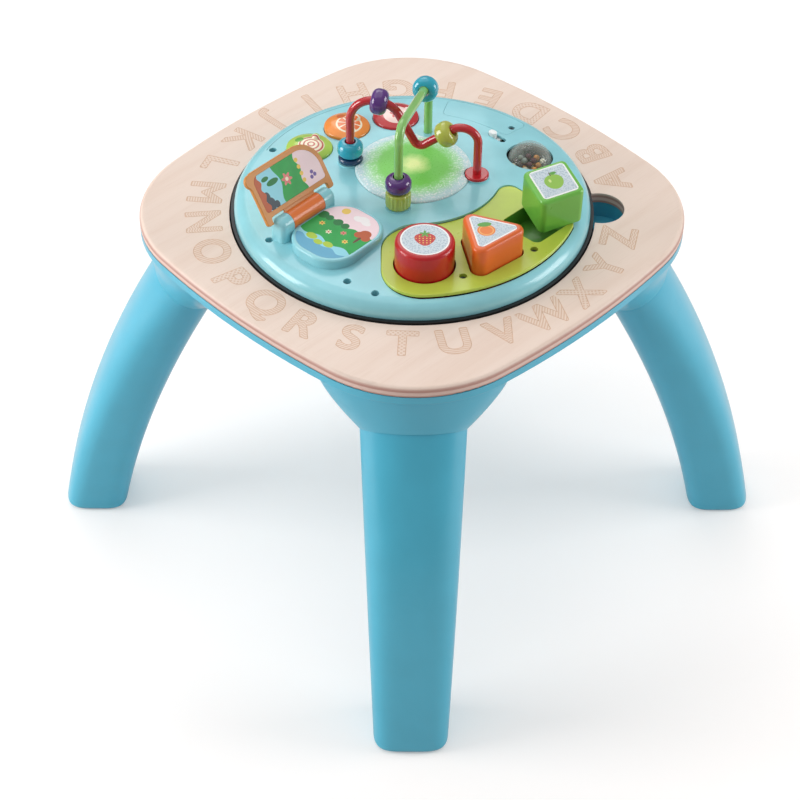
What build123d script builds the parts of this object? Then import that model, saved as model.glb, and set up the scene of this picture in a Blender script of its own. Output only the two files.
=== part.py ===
from build123d import *
import math
import os

# An activity table for small children: a wooden top on a plastic tray with four bowed legs, and a round
# play panel that lifts out of the middle. Millimetres, +Z up, origin on the floor below the middle.
# The legs stand on the X and Y axes, and -Y is the side that faces the viewer.

# Wooden top: a square with rounded corners on the axes and gently bowed sides
table_height = 390
top_thickness = 11
ring_width = 54
top_corner_radius = 129
top_side_radius = 900
top_edge_round = 4.5
hole_radius = 181.5
notch_radius = 24.5
notch_offset = 5
top_screw_inset = 29.5
top_screw_spread = 12
top_screw_radius = 2
top_screw_grip = 7
screw_head_radius = 4
screw_head_height = 2.4

# Tray under the top
tray_wall = 3
tray_rim = 9
well_clearance = 1
well_depth = 40
pocket_depth = 18

# Bowed legs and the hubs that they plug into
leg_azimuths = {"front": -90, "right": 0, "back": 90, "left": 180}
foot_distance = 343
foot_tilt = 11.3
leg_curve = 1000
hub_drop = 65
leg_top_width = 102
leg_top_depth = 71
leg_foot_width = 74
leg_foot_depth = 65
leg_top_fullness = 2
leg_foot_fullness = 4
leg_section_points = 24
leg_wall = 3.2
leg_floor = 14
foot_round = 6
spigot_length = 32
spigot_fit = 0.3
spigot_wall = 4
collar_step = 1.5
hub_top_distance = 185
hub_top_width = 200
hub_top_depth = 160
leg_screw_drop = 16
leg_screw_radius = 2
leg_screw_length = 9
leg_screw_sink = 1.2

# Play panel: black lower tub and domed upper shell
panel_gap = 1.5
tub_wall = 3.2
tub_floor = 2.5
tub_ledge = 2.8
tub_bottom_round = 5
rim_rise = 2
skirt_drop = 4
shell_gap = 0.4
shell_wall = 2.6
shoulder_rise = 18
crown_rise = 27
shoulder_round = 14

# Fasteners of the panel
well_radius = 3.9
boss_wall = 1.85
well_floor = 3
panel_well_rise = 9
sorter_well_depth = 5.5
panel_screw_radius = 1.5
panel_screw_slack = 0.2
panel_screw_length = 18
panel_screw_head = 3.2
panel_screw_head_height = 2.2
post_radius = 5
panel_wells = [(156, 154), (159, 209.5), (154.5, 246), (162, 257), (160, 347.5), (158, 85)]

# Light in the middle
light_x = 1
light_y = 29
lens_radius = 58
lens_wall = 2.2
lens_edge_rise = 1.5
lens_crown_rise = 5
lens_flat = 8
lens_ledge = 4
lens_seat_drop = 10
fit_gap = 0.4
led_board_radius = 18
led_radius = 2.5
board_thickness = 1.6
led_board_drop = 20

# Bead maze: two wires, each in an upright plane through the middle of the light
wire_radius = 4.3
foot_ring = 64
pad_radius = 12.5
pad_rise = 0.5
wire_hole_slack = 0.1
nut_radius = 8
nut_height = 4.5
wire_tail = 1
flange_radius = 12
flange_height = 3
red_azimuth = -11
red_arch_radius = 26
red_arch_foot = 49.5
red_arch_turn = 152
red_drop = 33
red_dip_radius = 7
red_dip_turn = 100
red_hump_radius = 16
green_azimuth = 76
green_front_height = 73
green_front_radius = 14
green_slope = 13.7
green_back_radius = 9
bead_radius = 13
bead_length = 17
bead_round = 7
bead_bore_slack = 1.4
bead_rest_gap = 0.3
arch_bead_turn = 7.5
disc_bead_radius = 12
disc_bead_length = 5.5
cup_bead_radius = 12.5
cup_bead_length = 17
cup_bead_round = 3

# Flip book: a leaf on a barrel, and a fixed picture on a raised platform
barrel_x = -106
barrel_y = -54
barrel_turn = 48
barrel_rise = 36
barrel_radius = 9.3
barrel_length = 42.5
lug_length = 15.4
lug_round = 5
lug_gap = 0.4
pin_radius = 1.5
pin_slack = 0.06
pin_grip = 11
leaf_tilt = 57
leaf_thickness = 4
leaf_left = -45.5
leaf_right = 45.5
leaf_root = 5
leaf_start = 12
leaf_notch_gap = 1.2
leaf_end = 59.5
leaf_far_corner = 28
leaf_near_corner = 8
leaf_root_corner = 3
leaf_frame = 5
leaf_tab_radius = 7
leaf_tongue = 6
leaf_shift = 2.5
picture_depth = 0.8
platform_rise = 31.5
platform_lip = 4
platform_round = 2.4
pad_width = 79
pad_start = 10
pad_end = 75
pad_corner = 26

# Shape sorter
sorter_top_rise = 23.5
sorter_plate = 3
sorter_outer_radius = 165.5
sorter_inner_radius = 89
sorter_start = -100.8
sorter_end = -18.6
sorter_inner_start = -111
sorter_inner_end = -8.4
sorter_left_corner = 38
sorter_tip_corner = 12
sorter_right_corner = 10
pocket_wall = 2.2
pocket_drop = 19
block_slack = 1.4
block_height = 48
block_wall = 2.5
block_edge = 4
red_block_x = 10
red_block_y = -119
red_block_radius = 28.5
orange_block_x = 71
orange_block_y = -104
orange_block_reach = 42
orange_block_turn = 10
orange_block_corner = 9
green_pocket_x = 118.3
green_pocket_y = -54
green_pocket_turn = 45
green_block_width = 46
green_block_height = 42
green_block_corner = 6
green_rest = (134.2, -40.7, 27.8)
green_rest_up = (-0.005, -0.19, 0.981)
green_rest_side = (0.917, 0.39, 0.08)
sorter_screws = [(46, -137), (115, -96)]
sorter_post_radius = 4
pillar_radius = 6

# Three push buttons on a ring
button_ring = 122.5
button_start = 97.5
button_step = 25
button_names = ["red", "orange", "green"]
button_radius = 23.5
button_gap = 0.6
button_wall = 2.4
button_edge_rise = 3
button_crown_rise = 8.5
button_flat = 4
button_flange = 1.5
button_flange_drop = 5.2
button_travel = 2.5
stem_radius = 7
stem_drop = 9.5
button_dot_radius = 4.6
button_dot_rise = 1.4
button_dot_shift = 12
mat_thickness = 2
mat_dome_rise = 2.3
mat_dome_radius = 6
board_post_radius = 4
peg_radius = 1.5
board_inner_radius = 98
board_outer_radius = 147
board_start = 82
board_end = 163

# Rattle ball on a cross axle
ball_x = 118.6
ball_y = 56.9
ball_radius = 23
ball_wall = 1.8
ball_rise = 13
axle_radius = 2.5
axle_slack = 0.06
axle_length = 8
ear_gap = 1.2
ear_thickness = 4
ear_half_width = 7
ear_crown = 5
rattle_radius = 3.2
rattle_count = 7

# Battery bay and its cover, flush with the dome
cover_margin = 12.4
cover_depth = 31
cover_start = 44
cover_end = 76
cover_gap = 0.3
cover_corner = 6
cell_radius = 7.1
cell_length = 49
cell_nub_radius = 2.7
cell_nub_length = 1.4
bay_wall = 2
bay_slack = 0.4
bay_height = 19
bay_drop = 15
contact_thickness = 0.6
contact_height = 11
contact_half_width = 5
cover_screw_turn = 46.4
cover_screw_radius = 1.5
cover_screw_length = 14
cover_screw_head = 3
cover_screw_head_height = 2
cover_boss_radius = 4.5
cover_boss_drop = 14
cover_head_drop = 4

# Slide switch
slider_ring = 124
slider_turn = 45.5
slider_travel = 12
slider_width = 7
slider_knob_length = 9
slider_knob_rise = 4
slider_plate_thickness = 1.6
slider_plate_gap = 1
slider_plate_overlap = 4
slider_stem_width = 3
slider_stem_length = 4
switch_gap = 0.6
switch_height = 7
switch_width = 9
switch_length = 26

# Speaker in the floor of the tub
speaker_x = -78
speaker_y = -62
speaker_radius = 28
speaker_height = 17
speaker_magnet_radius = 15
speaker_rim_height = 6
grille_hole_radius = 1.8
grille_pitch = 9

# Levels worked out from the sizes above
top_z = table_height
deck_z = top_z - top_thickness
top_flat_half = hole_radius + ring_width
top_screw_ring = hole_radius + top_screw_inset
leg_top_height = deck_z - tray_rim - hub_drop
well_radius_tray = hole_radius + well_clearance
well_floor_z = top_z - well_depth
tub_radius = hole_radius - panel_gap
tub_floor_z = well_floor_z + tub_floor
rim_z = top_z + rim_rise
ledge_z = top_z - skirt_drop
shell_radius = tub_radius - tub_wall - shell_gap
cover_outer_radius = shell_radius - cover_margin
cover_inner_radius = cover_outer_radius - cover_depth
bay_ring = cover_outer_radius - cover_depth / 2
crown_z = top_z + crown_rise
dome_rise = crown_rise - shoulder_rise
dome_radius = (shell_radius**2 + dome_rise**2) / (2 * dome_rise)
platform_z = top_z + platform_rise
barrel_z = top_z + barrel_rise
sorter_z = top_z + sorter_top_rise
pocket_floor_z = sorter_z - pocket_drop
pad_z = crown_z + pad_rise
lens_seat_z = crown_z - lens_seat_drop
led_board_z = crown_z - led_board_drop
panel_well_z = top_z + panel_well_rise
boss_radius = well_radius + boss_wall
bead_bore = wire_radius + bead_bore_slack
high_z = crown_z + 100
notch_x = hole_radius + notch_offset

os.makedirs("parts", exist_ok=True)


def save(builder, name):
    """Label a finished piece and write it to its own file."""
    builder.part.label = name
    export_step(builder.part, f"parts/{name}.step")


def polar(radius, turn):
    """A plan point at a radius and an angle in degrees about the panel's axis."""
    return (radius * math.cos(math.radians(turn)), radius * math.sin(math.radians(turn)))


def dome_z(radius):
    """Height of the shell's domed top at a distance from the panel's axis."""
    return crown_z - dome_radius + math.sqrt(dome_radius**2 - radius**2)


# Table top, tray and legs


def table_outline(inset):
    """Rounded square with bowed sides; corner and side arcs meet in a tangent."""
    side_centre = top_side_radius - top_flat_half
    span = top_side_radius - top_corner_radius
    corner_centre = (math.sqrt(4 * span**2 - 2 * side_centre**2) - math.sqrt(2) * side_centre) / 2
    corner = top_corner_radius - inset
    shift = side_centre / math.sqrt(2)
    touch_x = corner_centre + corner * (corner_centre + shift) / span
    touch_y = corner * shift / span
    middle = (top_flat_half - inset) / math.sqrt(2)
    with BuildLine() as outline:
        for turn in (0, 90, 180, 270):
            start, apex, end, side, after = (
                Vector(x, y).rotate(Axis.Z, turn)
                for x, y in (
                    (touch_x, -touch_y),
                    (corner_centre + corner, 0),
                    (touch_x, touch_y),
                    (middle, middle),
                    (touch_y, touch_x),
                )
            )
            ThreePointArc(start, apex, end)
            ThreePointArc(end, side, after)
    make_face(outline.edges())


top_screw_places = [
    polar(top_screw_ring, 45 + 90 * side + spread)
    for side in range(len(leg_azimuths))
    for spread in (-top_screw_spread, top_screw_spread)
]

with BuildPart() as table_top:
    with BuildSketch(Plane.XY.offset(deck_z)):
        table_outline(0)
        Circle(hole_radius, mode=Mode.SUBTRACT)
        with Locations((notch_x, 0)):
            Circle(notch_radius, mode=Mode.SUBTRACT)
    extrude(amount=top_thickness)
    upper = table_top.faces().sort_by(Axis.Z)[-1]
    fillet(upper.outer_wire().edges(), top_edge_round)
    lower = table_top.faces().sort_by(Axis.Z)[0]
    fillet(lower.outer_wire().edges(), top_edge_round / 3)
    with BuildSketch(Plane.XY.offset(deck_z)):
        with Locations(*top_screw_places):
            Circle(top_screw_radius)
    extrude(amount=top_screw_grip, mode=Mode.SUBTRACT)
save(table_top, "table_top")

with BuildPart() as top_screws:
    with BuildSketch(Plane.XY.offset(deck_z - tray_wall)):
        with Locations(*top_screw_places):
            Circle(top_screw_radius)
    extrude(amount=tray_wall + top_screw_grip)
    with BuildSketch(Plane.XY.offset(deck_z - tray_wall - screw_head_height)):
        with Locations(*top_screw_places):
            Circle(screw_head_radius)
    extrude(amount=screw_head_height)
save(top_screws, "top_screws")


def leg_plane(share, azimuth):
    """Plane square to a leg's bowed centre line; share 0 is the floor and 1 the leg's top."""
    foot = math.radians(foot_tilt)
    top = math.asin(math.sin(foot) + leg_top_height / leg_curve)
    lean = foot + share * (top - foot)
    out = foot_distance - leg_curve * (math.cos(foot) - math.cos(lean))
    up = leg_curve * (math.sin(lean) - math.sin(foot))
    plane = Plane((out, 0, up), x_dir=(0, 1, 0), z_dir=(-math.sin(lean), 0, math.cos(lean)))
    return turned(plane, azimuth)


def turned(plane, azimuth):
    """A plane carried round the table's upright axis."""
    return Plane(
        plane.origin.rotate(Axis.Z, azimuth),
        x_dir=plane.x_dir.rotate(Axis.Z, azimuth),
        z_dir=plane.z_dir.rotate(Axis.Z, azimuth),
    )


def leg_half_sizes(share, inset):
    """Half width across and half depth along the spread, at a share of the leg's length."""
    width = leg_foot_width + share * (leg_top_width - leg_foot_width)
    depth = leg_foot_depth + share * (leg_top_depth - leg_foot_depth)
    return width / 2 - inset, depth / 2 - inset


def oval(plane, half_width, half_depth):
    """An oval face centred on a plane."""
    with BuildSketch(plane) as section:
        Ellipse(half_width, half_depth)
    return section.sketch.face()


def leg_section(share, azimuth, inset):
    """Section across the leg: an oval at the top, and nearer to a square with round corners at the foot."""
    half_width, half_depth = leg_half_sizes(share, inset)
    fullness = leg_foot_fullness + share * (leg_top_fullness - leg_foot_fullness)
    points = []
    for step in range(leg_section_points):
        turn = 2 * math.pi * step / leg_section_points
        across, along = math.cos(turn), math.sin(turn)
        reach = (abs(across) ** fullness + abs(along) ** fullness) ** (-1 / fullness)
        points.append((half_width * reach * across, half_depth * reach * along))
    with BuildSketch(leg_plane(share, azimuth)) as section:
        with BuildLine():
            Spline(points, periodic=True)
        make_face()
    return section.sketch.face()


def leg_sections(shares, azimuth, inset):
    """Sections across the leg at the given shares of its length."""
    return [leg_section(share, azimuth, inset) for share in shares]


leg_length = leg_curve * (
    math.asin(math.sin(math.radians(foot_tilt)) + leg_top_height / leg_curve) - math.radians(foot_tilt)
)
spigot_share = 1 - spigot_length / leg_length
leg_screw_share = 1 - leg_screw_drop / leg_length


def leg_screw_plane(azimuth, level):
    """Plane across a leg's screw, facing in to the leg, at a depth below the leg's inner face."""
    station = leg_plane(leg_screw_share, azimuth)
    depth = leg_half_sizes(leg_screw_share, 0)[1] - level
    return Plane(station.origin + station.y_dir * depth, x_dir=station.x_dir, z_dir=-station.y_dir)


def make_leg(azimuth):
    """One hollow bowed leg, closed and rounded at the foot and open at the top."""
    with BuildPart() as leg:
        loft(leg_sections((-0.15, 0.2, 0.5, 0.75, 1), azimuth, 0))
        split(bisect_by=Plane.XY, keep=Keep.TOP)
        fillet(leg.edges().group_by(Axis.Z)[0], foot_round)
        loft(leg_sections((leg_floor / leg_length, 0.3, 0.6, 1), azimuth, leg_wall), mode=Mode.SUBTRACT)
        with BuildSketch(leg_screw_plane(azimuth, leg_screw_sink)):
            Circle(screw_head_radius + spigot_fit)
        extrude(amount=-screw_head_radius, mode=Mode.SUBTRACT)
        with BuildSketch(leg_screw_plane(azimuth, 0)):
            Circle(leg_screw_radius + spigot_fit)
        extrude(amount=leg_wall + spigot_fit, mode=Mode.SUBTRACT)
    return leg


for place, azimuth in leg_azimuths.items():
    save(make_leg(azimuth), f"leg_{place}")

with BuildPart() as leg_screws:
    for azimuth in leg_azimuths.values():
        with BuildSketch(leg_screw_plane(azimuth, leg_screw_sink)):
            Circle(screw_head_radius)
        extrude(amount=-screw_head_height)
        with BuildSketch(leg_screw_plane(azimuth, leg_screw_sink)):
            Circle(leg_screw_radius)
        extrude(amount=leg_screw_length)
save(leg_screws, "leg_screws")

# Stations of a hub, from the collar at the leg's top to the deck: share of the way, and how full it is
hub_stations = ((0.34, 0.50), (0.68, 0.85), (1, 1))


def hub_sections(azimuth, inset):
    """Oval sections of a hub bowl, from the leg's collar up to the deck."""
    half_width, half_depth = leg_half_sizes(1, inset - collar_step)
    sections = [oval(leg_plane(1 + inset / leg_length, azimuth), half_width, half_depth)]
    base = leg_plane(1, 0)
    lean = math.degrees(math.asin(-base.z_dir.X))
    ceiling = deck_z + (inset - tray_wall) / 2
    for share, fullness in hub_stations:
        out = base.origin.X + share * (hub_top_distance - base.origin.X)
        up = base.origin.Z + share * (ceiling - base.origin.Z)
        tilt = math.radians(lean * (1 - share))
        level = Plane((out, 0, up), x_dir=(0, 1, 0), z_dir=(-math.sin(tilt), 0, math.cos(tilt)))
        width = half_width + fullness * (hub_top_width / 2 - inset - half_width)
        depth = half_depth + share * (hub_top_depth / 2 - inset - half_depth)
        sections.append(oval(turned(level, azimuth), width, depth))
    return sections


with BuildPart() as table_tray:
    with BuildSketch(Plane.XY.offset(deck_z - tray_rim)):
        table_outline(0)
    extrude(amount=tray_rim)
    fillet(table_tray.faces().sort_by(Axis.Z)[0].edges(), tray_wall / 2)
    with BuildSketch(Plane.XY.offset(deck_z - tray_rim)):
        table_outline(tray_wall)
    extrude(amount=tray_rim - tray_wall, mode=Mode.SUBTRACT)
    for azimuth in leg_azimuths.values():
        loft(hub_sections(azimuth, 0))
        loft(leg_sections((spigot_share, (1 + spigot_share) / 2, 1), azimuth, leg_wall + spigot_fit))
    for azimuth in leg_azimuths.values():
        loft(hub_sections(azimuth, tray_wall + collar_step), mode=Mode.SUBTRACT)
        loft(
            leg_sections((spigot_share - 0.01, 1, 1.04), azimuth, leg_wall + spigot_fit + spigot_wall),
            mode=Mode.SUBTRACT,
        )
    with BuildSketch(Plane.XY.offset(well_floor_z - tray_wall)):
        Circle(well_radius_tray + tray_wall)
    extrude(amount=deck_z - well_floor_z + tray_wall)
    with BuildSketch(Plane.XY.offset(deck_z - pocket_depth - tray_wall)):
        with Locations((notch_x, 0)):
            Circle(notch_radius + well_clearance + tray_wall)
    extrude(amount=pocket_depth + tray_wall)
    with BuildSketch(Plane.XY.offset(deck_z - pocket_depth)):
        with Locations((notch_x, 0)):
            Circle(notch_radius + well_clearance)
    extrude(amount=pocket_depth, mode=Mode.SUBTRACT)
    with BuildSketch(Plane.XY.offset(well_floor_z)):
        Circle(well_radius_tray)
    extrude(amount=well_depth, mode=Mode.SUBTRACT)
    with BuildSketch(Plane.XY.offset(deck_z - tray_wall)):
        with Locations(*top_screw_places):
            Circle(top_screw_radius)
    extrude(amount=tray_wall, mode=Mode.SUBTRACT)
    for azimuth in leg_azimuths.values():
        with BuildSketch(leg_screw_plane(azimuth, leg_wall)):
            Circle(leg_screw_radius)
        extrude(amount=leg_screw_length, mode=Mode.SUBTRACT)
save(table_tray, "table_tray")


# Play panel: tub, shell and the flush covers cut from the same dome


def dome_solid(inset):
    """Solid under the shell's dome, drawn in by an inset; two of these make the shell."""
    radius = shell_radius - inset
    bend = dome_radius - inset
    centre_z = crown_z - dome_radius
    brow_z = centre_z + math.sqrt(bend**2 - radius**2)
    with BuildPart() as dome:
        with BuildSketch(Plane.XZ):
            with BuildLine():
                Polyline((0, crown_z - inset), (0, ledge_z), (radius, ledge_z), (radius, brow_z))
                middle = (radius / 2, centre_z + math.sqrt(bend**2 - radius**2 / 4))
                ThreePointArc((radius, brow_z), middle, (0, crown_z - inset))
            make_face()
        revolve(axis=Axis.Z)
        shoulder = dome.edges().filter_by(lambda edge: edge.is_closed).sort_by(Axis.Z)[-1]
        fillet(shoulder, shoulder_round - inset)
    return dome.part


outer_dome = dome_solid(0)
inner_dome = dome_solid(shell_wall)


def columns(low, high, radius, places, mode=Mode.ADD):
    """Round upright columns of one radius at plan points, between two heights."""
    with BuildSketch(Plane.XY.offset(low)) as rounds:
        with Locations(*places):
            Circle(radius)
    extrude(rounds.sketch, amount=high - low, mode=mode)


def ring_outline(ends, arcs):
    """Closed face through four corners, with arcs through middle points on the first and third side."""
    with BuildLine() as outline:
        ThreePointArc(ends[0], arcs[0], ends[1])
        Line(ends[1], ends[2])
        ThreePointArc(ends[2], arcs[1], ends[3])
        Line(ends[3], ends[0])
    make_face(outline.edges())


def sorter_outline(margin):
    """Crescent outline of the sorter plate, grown by a margin."""
    light = Vector(light_x, light_y)
    ends = [
        Vector(*polar(sorter_outer_radius, sorter_start)),
        Vector(*polar(sorter_outer_radius, sorter_end)),
        light + Vector(*polar(sorter_inner_radius, sorter_inner_end)),
        light + Vector(*polar(sorter_inner_radius, sorter_inner_start)),
    ]
    outer_middle = Vector(*polar(sorter_outer_radius, (sorter_start + sorter_end) / 2))
    inner_turn = (sorter_inner_start + sorter_inner_end) / 2
    inner_middle = light + Vector(*polar(sorter_inner_radius, inner_turn))
    ring_outline(ends, (outer_middle, inner_middle))
    fillet(vertices().sort_by(Axis.X)[-1], sorter_right_corner)
    fillet(vertices().sort_by_distance(ends[2])[0], sorter_tip_corner)
    fillet(vertices().sort_by_distance(ends[0])[0], sorter_left_corner)
    fillet(vertices().sort_by_distance(ends[3])[0], sorter_left_corner)
    if margin:
        offset(amount=margin)


def cover_outline(margin):
    """Outline of the battery cover: part of a ring with rounded corners, grown by a margin."""
    ends = [
        Vector(*polar(cover_outer_radius, cover_start)),
        Vector(*polar(cover_outer_radius, cover_end)),
        Vector(*polar(cover_inner_radius, cover_end)),
        Vector(*polar(cover_inner_radius, cover_start)),
    ]
    middle = (cover_start + cover_end) / 2
    arcs = (Vector(*polar(cover_outer_radius, middle)), Vector(*polar(cover_inner_radius, middle)))
    ring_outline(ends, arcs)
    fillet(vertices(), cover_corner)
    if margin:
        offset(amount=margin)


# The book: its own plane has local x along the barrel and local y from the barrel over the fixed picture
barrel_dir = Vector(*polar(1, barrel_turn))
barrel_place = Vector(barrel_x, barrel_y, barrel_z)
book_plane = Plane((barrel_x, barrel_y, 0), x_dir=-barrel_dir, z_dir=(0, 0, 1))
channel_radius = barrel_radius + lug_gap
lug_face = barrel_length / 2 + lug_gap


def pad_outline(margin, lead=0):
    """Rounded outline of the fixed picture in the book's plane, grown by a margin, with a later start."""
    low = pad_start - margin + lead
    high = pad_end + margin
    with Locations((-leaf_shift, (low + high) / 2)):
        RectangleRounded(pad_width + 2 * margin, high - low, pad_corner + margin - lead / 2)


# Places of everything that stands on the dome
light_place = (light_x, light_y)
button_places = [polar(button_ring, button_start + i * button_step) for i in range(len(button_names))]
button_seat_z = dome_z(button_ring)
foot_turns = (red_azimuth, red_azimuth + 180, green_azimuth, green_azimuth + 180)
wire_feet = [(light_x + polar(foot_ring, t)[0], light_y + polar(foot_ring, t)[1]) for t in foot_turns]
pad_under_z = lens_seat_z - lens_wall
lens_wall_z = dome_z(foot_ring) - shell_wall / 2
panel_boss_z = panel_well_z - well_floor
shoulder_z = dome_z(shell_radius - shoulder_round) - shell_wall / 2
panel_screw_hole = panel_screw_radius + panel_screw_slack
well_places = [polar(*place) for place in panel_wells]
slider_plane = Plane(
    (*polar(slider_ring, slider_turn), dome_z(slider_ring)),
    x_dir=(*polar(1, slider_turn - 90), 0),
    z_dir=(0, 0, 1),
)
cover_screw_place = polar(bay_ring, cover_screw_turn)
cover_boss_z = crown_z - cover_boss_drop
cover_head_z = dome_z(bay_ring) - cover_head_drop
cover_under_z = dome_z(cover_outer_radius) - shell_wall / 2
cover_screw_hole = cover_screw_radius + panel_screw_slack
sorter_well_z = sorter_z - sorter_well_depth
sorter_boss_z = sorter_well_z - well_floor
ball_place = (ball_x, ball_y)
ball_z = top_z + ball_rise
axle_dir = Vector(*polar(1, math.degrees(math.atan2(ball_y, ball_x)) + 90))
bay_turn = (cover_start + cover_end) / 2
bay_floor_z = crown_z - bay_drop + bay_wall - bay_height + bay_wall
bay_plane = Plane((*polar(bay_ring, bay_turn), 0), x_dir=(*polar(1, bay_turn), 0), z_dir=(0, 0, 1))
bay_length = cell_length + cell_nub_length + 2 * contact_thickness + 2 * bay_slack
bay_width = 4 * cell_radius + 3 * bay_slack
mat_top_z = button_seat_z - stem_drop - button_travel - fit_gap - mat_dome_rise
board_z = mat_top_z - mat_thickness - board_thickness
post_start = button_start - button_step / 2
board_posts = [polar(button_ring, post_start + i * button_step) for i in range(len(button_names) + 1)]
slider_plate_z = -shell_wall - slider_plate_gap - slider_plate_thickness
switch_z = dome_z(slider_ring) + slider_plate_z - switch_gap - switch_height



def make_lug(heading):
    """A lug that carries one end of the page's pin, rounded at its outer end."""
    with BuildPart() as lug:
        with BuildSketch(Plane(barrel_place + heading * lug_face, x_dir=(0, 0, 1), z_dir=heading)):
            Circle(barrel_radius)
            with Locations((-(barrel_rise - shoulder_rise) / 2, 0)):
                Rectangle(barrel_rise - shoulder_rise, 2 * barrel_radius)
        extrude(amount=lug_length)
        end = lug.faces().sort_by(Axis(barrel_place, heading))[-1]
        fillet(end.edges().sort_by(Axis.Z)[1:], lug_round)
    return lug.part


with BuildPart() as panel_shell:
    add(outer_dome)
    with BuildSketch(book_plane.offset(ledge_z)):
        pad_outline(platform_lip)
    extrude(amount=platform_z - ledge_z)
    fillet(panel_shell.faces().filter_by(Axis.Z).sort_by(Axis.Z)[-1].outer_wire().edges(), platform_round)
    for side in (-1, 1):
        add(make_lug(barrel_dir * side))
    with BuildSketch(Plane(barrel_place, z_dir=barrel_dir)):
        Circle(channel_radius)
    extrude(amount=lug_face, both=True, mode=Mode.SUBTRACT)
    add(inner_dome, mode=Mode.SUBTRACT)
    with BuildSketch(book_plane.offset(ledge_z)):
        pad_outline(platform_lip - shell_wall, channel_radius + platform_lip - pad_start)
    extrude(amount=platform_z - shell_wall - ledge_z, mode=Mode.SUBTRACT)
    with BuildSketch(book_plane.offset(platform_z - picture_depth)):
        pad_outline(fit_gap / 2)
    extrude(amount=barrel_radius, mode=Mode.SUBTRACT)
    with BuildSketch(Plane(barrel_place, z_dir=barrel_dir)):
        Circle(pin_radius)
    extrude(amount=lug_face + pin_grip, both=True, mode=Mode.SUBTRACT)
    columns(pad_under_z, lens_wall_z, lens_radius + fit_gap + shell_wall, [light_place])
    columns(lens_seat_z, high_z, lens_radius + fit_gap, [light_place], Mode.SUBTRACT)
    columns(pad_under_z, high_z, lens_radius - lens_ledge, [light_place], Mode.SUBTRACT)
    columns(pad_under_z, pad_z, pad_radius, wire_feet)
    columns(pad_under_z, pad_z, wire_radius + wire_hole_slack, wire_feet, Mode.SUBTRACT)
    columns(panel_boss_z, shoulder_z, boss_radius, well_places)
    columns(panel_well_z, high_z, well_radius, well_places, Mode.SUBTRACT)
    columns(panel_boss_z, high_z, panel_screw_hole, well_places, Mode.SUBTRACT)
    with BuildSketch(Plane.XY.offset(ledge_z)):
        sorter_outline(fit_gap)
    extrude(amount=high_z - ledge_z, mode=Mode.SUBTRACT)
    with BuildSketch(Plane.XY.offset(ledge_z)):
        cover_outline(cover_gap)
    extrude(amount=high_z - ledge_z, mode=Mode.SUBTRACT)
    columns(ledge_z, high_z, button_radius + button_gap, button_places, Mode.SUBTRACT)
    columns(ledge_z, high_z, ball_radius + button_gap, [ball_place], Mode.SUBTRACT)
    with BuildSketch(slider_plane.offset(-2 * shell_wall)):
        SlotOverall(slider_knob_length + slider_travel + 2 * fit_gap, slider_width + 2 * fit_gap)
    extrude(amount=4 * shell_wall, mode=Mode.SUBTRACT)
save(panel_shell, "panel_shell")

sorter_pockets = [
    (red_block_x, red_block_y),
    (orange_block_x, orange_block_y),
    (green_pocket_x, green_pocket_y),
]
bay_posts = [(x * bay_width / 4, y * bay_length / 4) for x in (-1, 1) for y in (-1, 1)]

with BuildPart() as panel_base:
    columns(well_floor_z, rim_z, tub_radius, [(0, 0)])
    fillet(panel_base.faces().sort_by(Axis.Z)[0].edges(), tub_bottom_round)
    columns(tub_floor_z, rim_z, tub_radius - tub_wall - tub_ledge, [(0, 0)], Mode.SUBTRACT)
    columns(ledge_z, rim_z, tub_radius - tub_wall, [(0, 0)], Mode.SUBTRACT)
    columns(tub_floor_z, panel_boss_z, post_radius, well_places)
    columns(panel_well_z - panel_screw_length, high_z, panel_screw_radius, well_places, Mode.SUBTRACT)
    columns(tub_floor_z, sorter_boss_z, sorter_post_radius, sorter_screws)
    columns(sorter_well_z - panel_screw_length, high_z, panel_screw_radius, sorter_screws, Mode.SUBTRACT)
    columns(tub_floor_z, pocket_floor_z - pocket_wall, pillar_radius, sorter_pockets)
    columns(tub_floor_z, led_board_z, post_radius, [light_place])
    columns(tub_floor_z, board_z, board_post_radius, board_posts)
    columns(board_z, board_z + board_thickness, peg_radius, board_posts)
    columns(tub_floor_z, cover_boss_z, cover_boss_radius, [cover_screw_place])
    cover_bore_z = cover_head_z - cover_screw_length
    columns(cover_bore_z, high_z, cover_screw_radius, [cover_screw_place], Mode.SUBTRACT)
    columns(tub_floor_z, switch_z, board_post_radius, [polar(slider_ring, slider_turn)])
    with BuildSketch(bay_plane.offset(tub_floor_z)):
        with Locations(*bay_posts):
            Circle(board_post_radius)
    extrude(amount=bay_floor_z - bay_wall - tub_floor_z)
    with BuildSketch(Plane.XY.offset(well_floor_z)):
        with Locations((speaker_x, speaker_y)):
            with GridLocations(grille_pitch, grille_pitch, 5, 5):
                Circle(grille_hole_radius)
    extrude(amount=tub_floor, mode=Mode.SUBTRACT)
save(panel_base, "panel_base")


def make_screws(places, seat_z, head, head_height, shank, length):
    """A group of upright screws whose heads rest at one height."""
    with BuildPart() as screws:
        columns(seat_z - length, seat_z, shank, places)
        columns(seat_z, seat_z + head_height, head, places)
        with BuildSketch(Plane.XY.offset(seat_z + head_height)):
            with Locations(*places):
                Rectangle(1.4 * head, 0.3 * head)
                Rectangle(0.3 * head, 1.4 * head)
        extrude(amount=-head_height / 2, mode=Mode.SUBTRACT)
    return screws


panel_screw = (panel_screw_head, panel_screw_head_height, panel_screw_radius, panel_screw_length)
save(make_screws(well_places, panel_well_z, *panel_screw), "panel_screws")
save(make_screws(sorter_screws, sorter_well_z, *panel_screw), "tray_screws")
cover_screw = (cover_screw_head, cover_screw_head_height, cover_screw_radius, cover_screw_length)
save(make_screws([cover_screw_place], cover_head_z, *cover_screw), "cover_screw")

# Light
lens_edge_z = crown_z + lens_edge_rise
lens_crown_z = crown_z + lens_crown_rise


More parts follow.
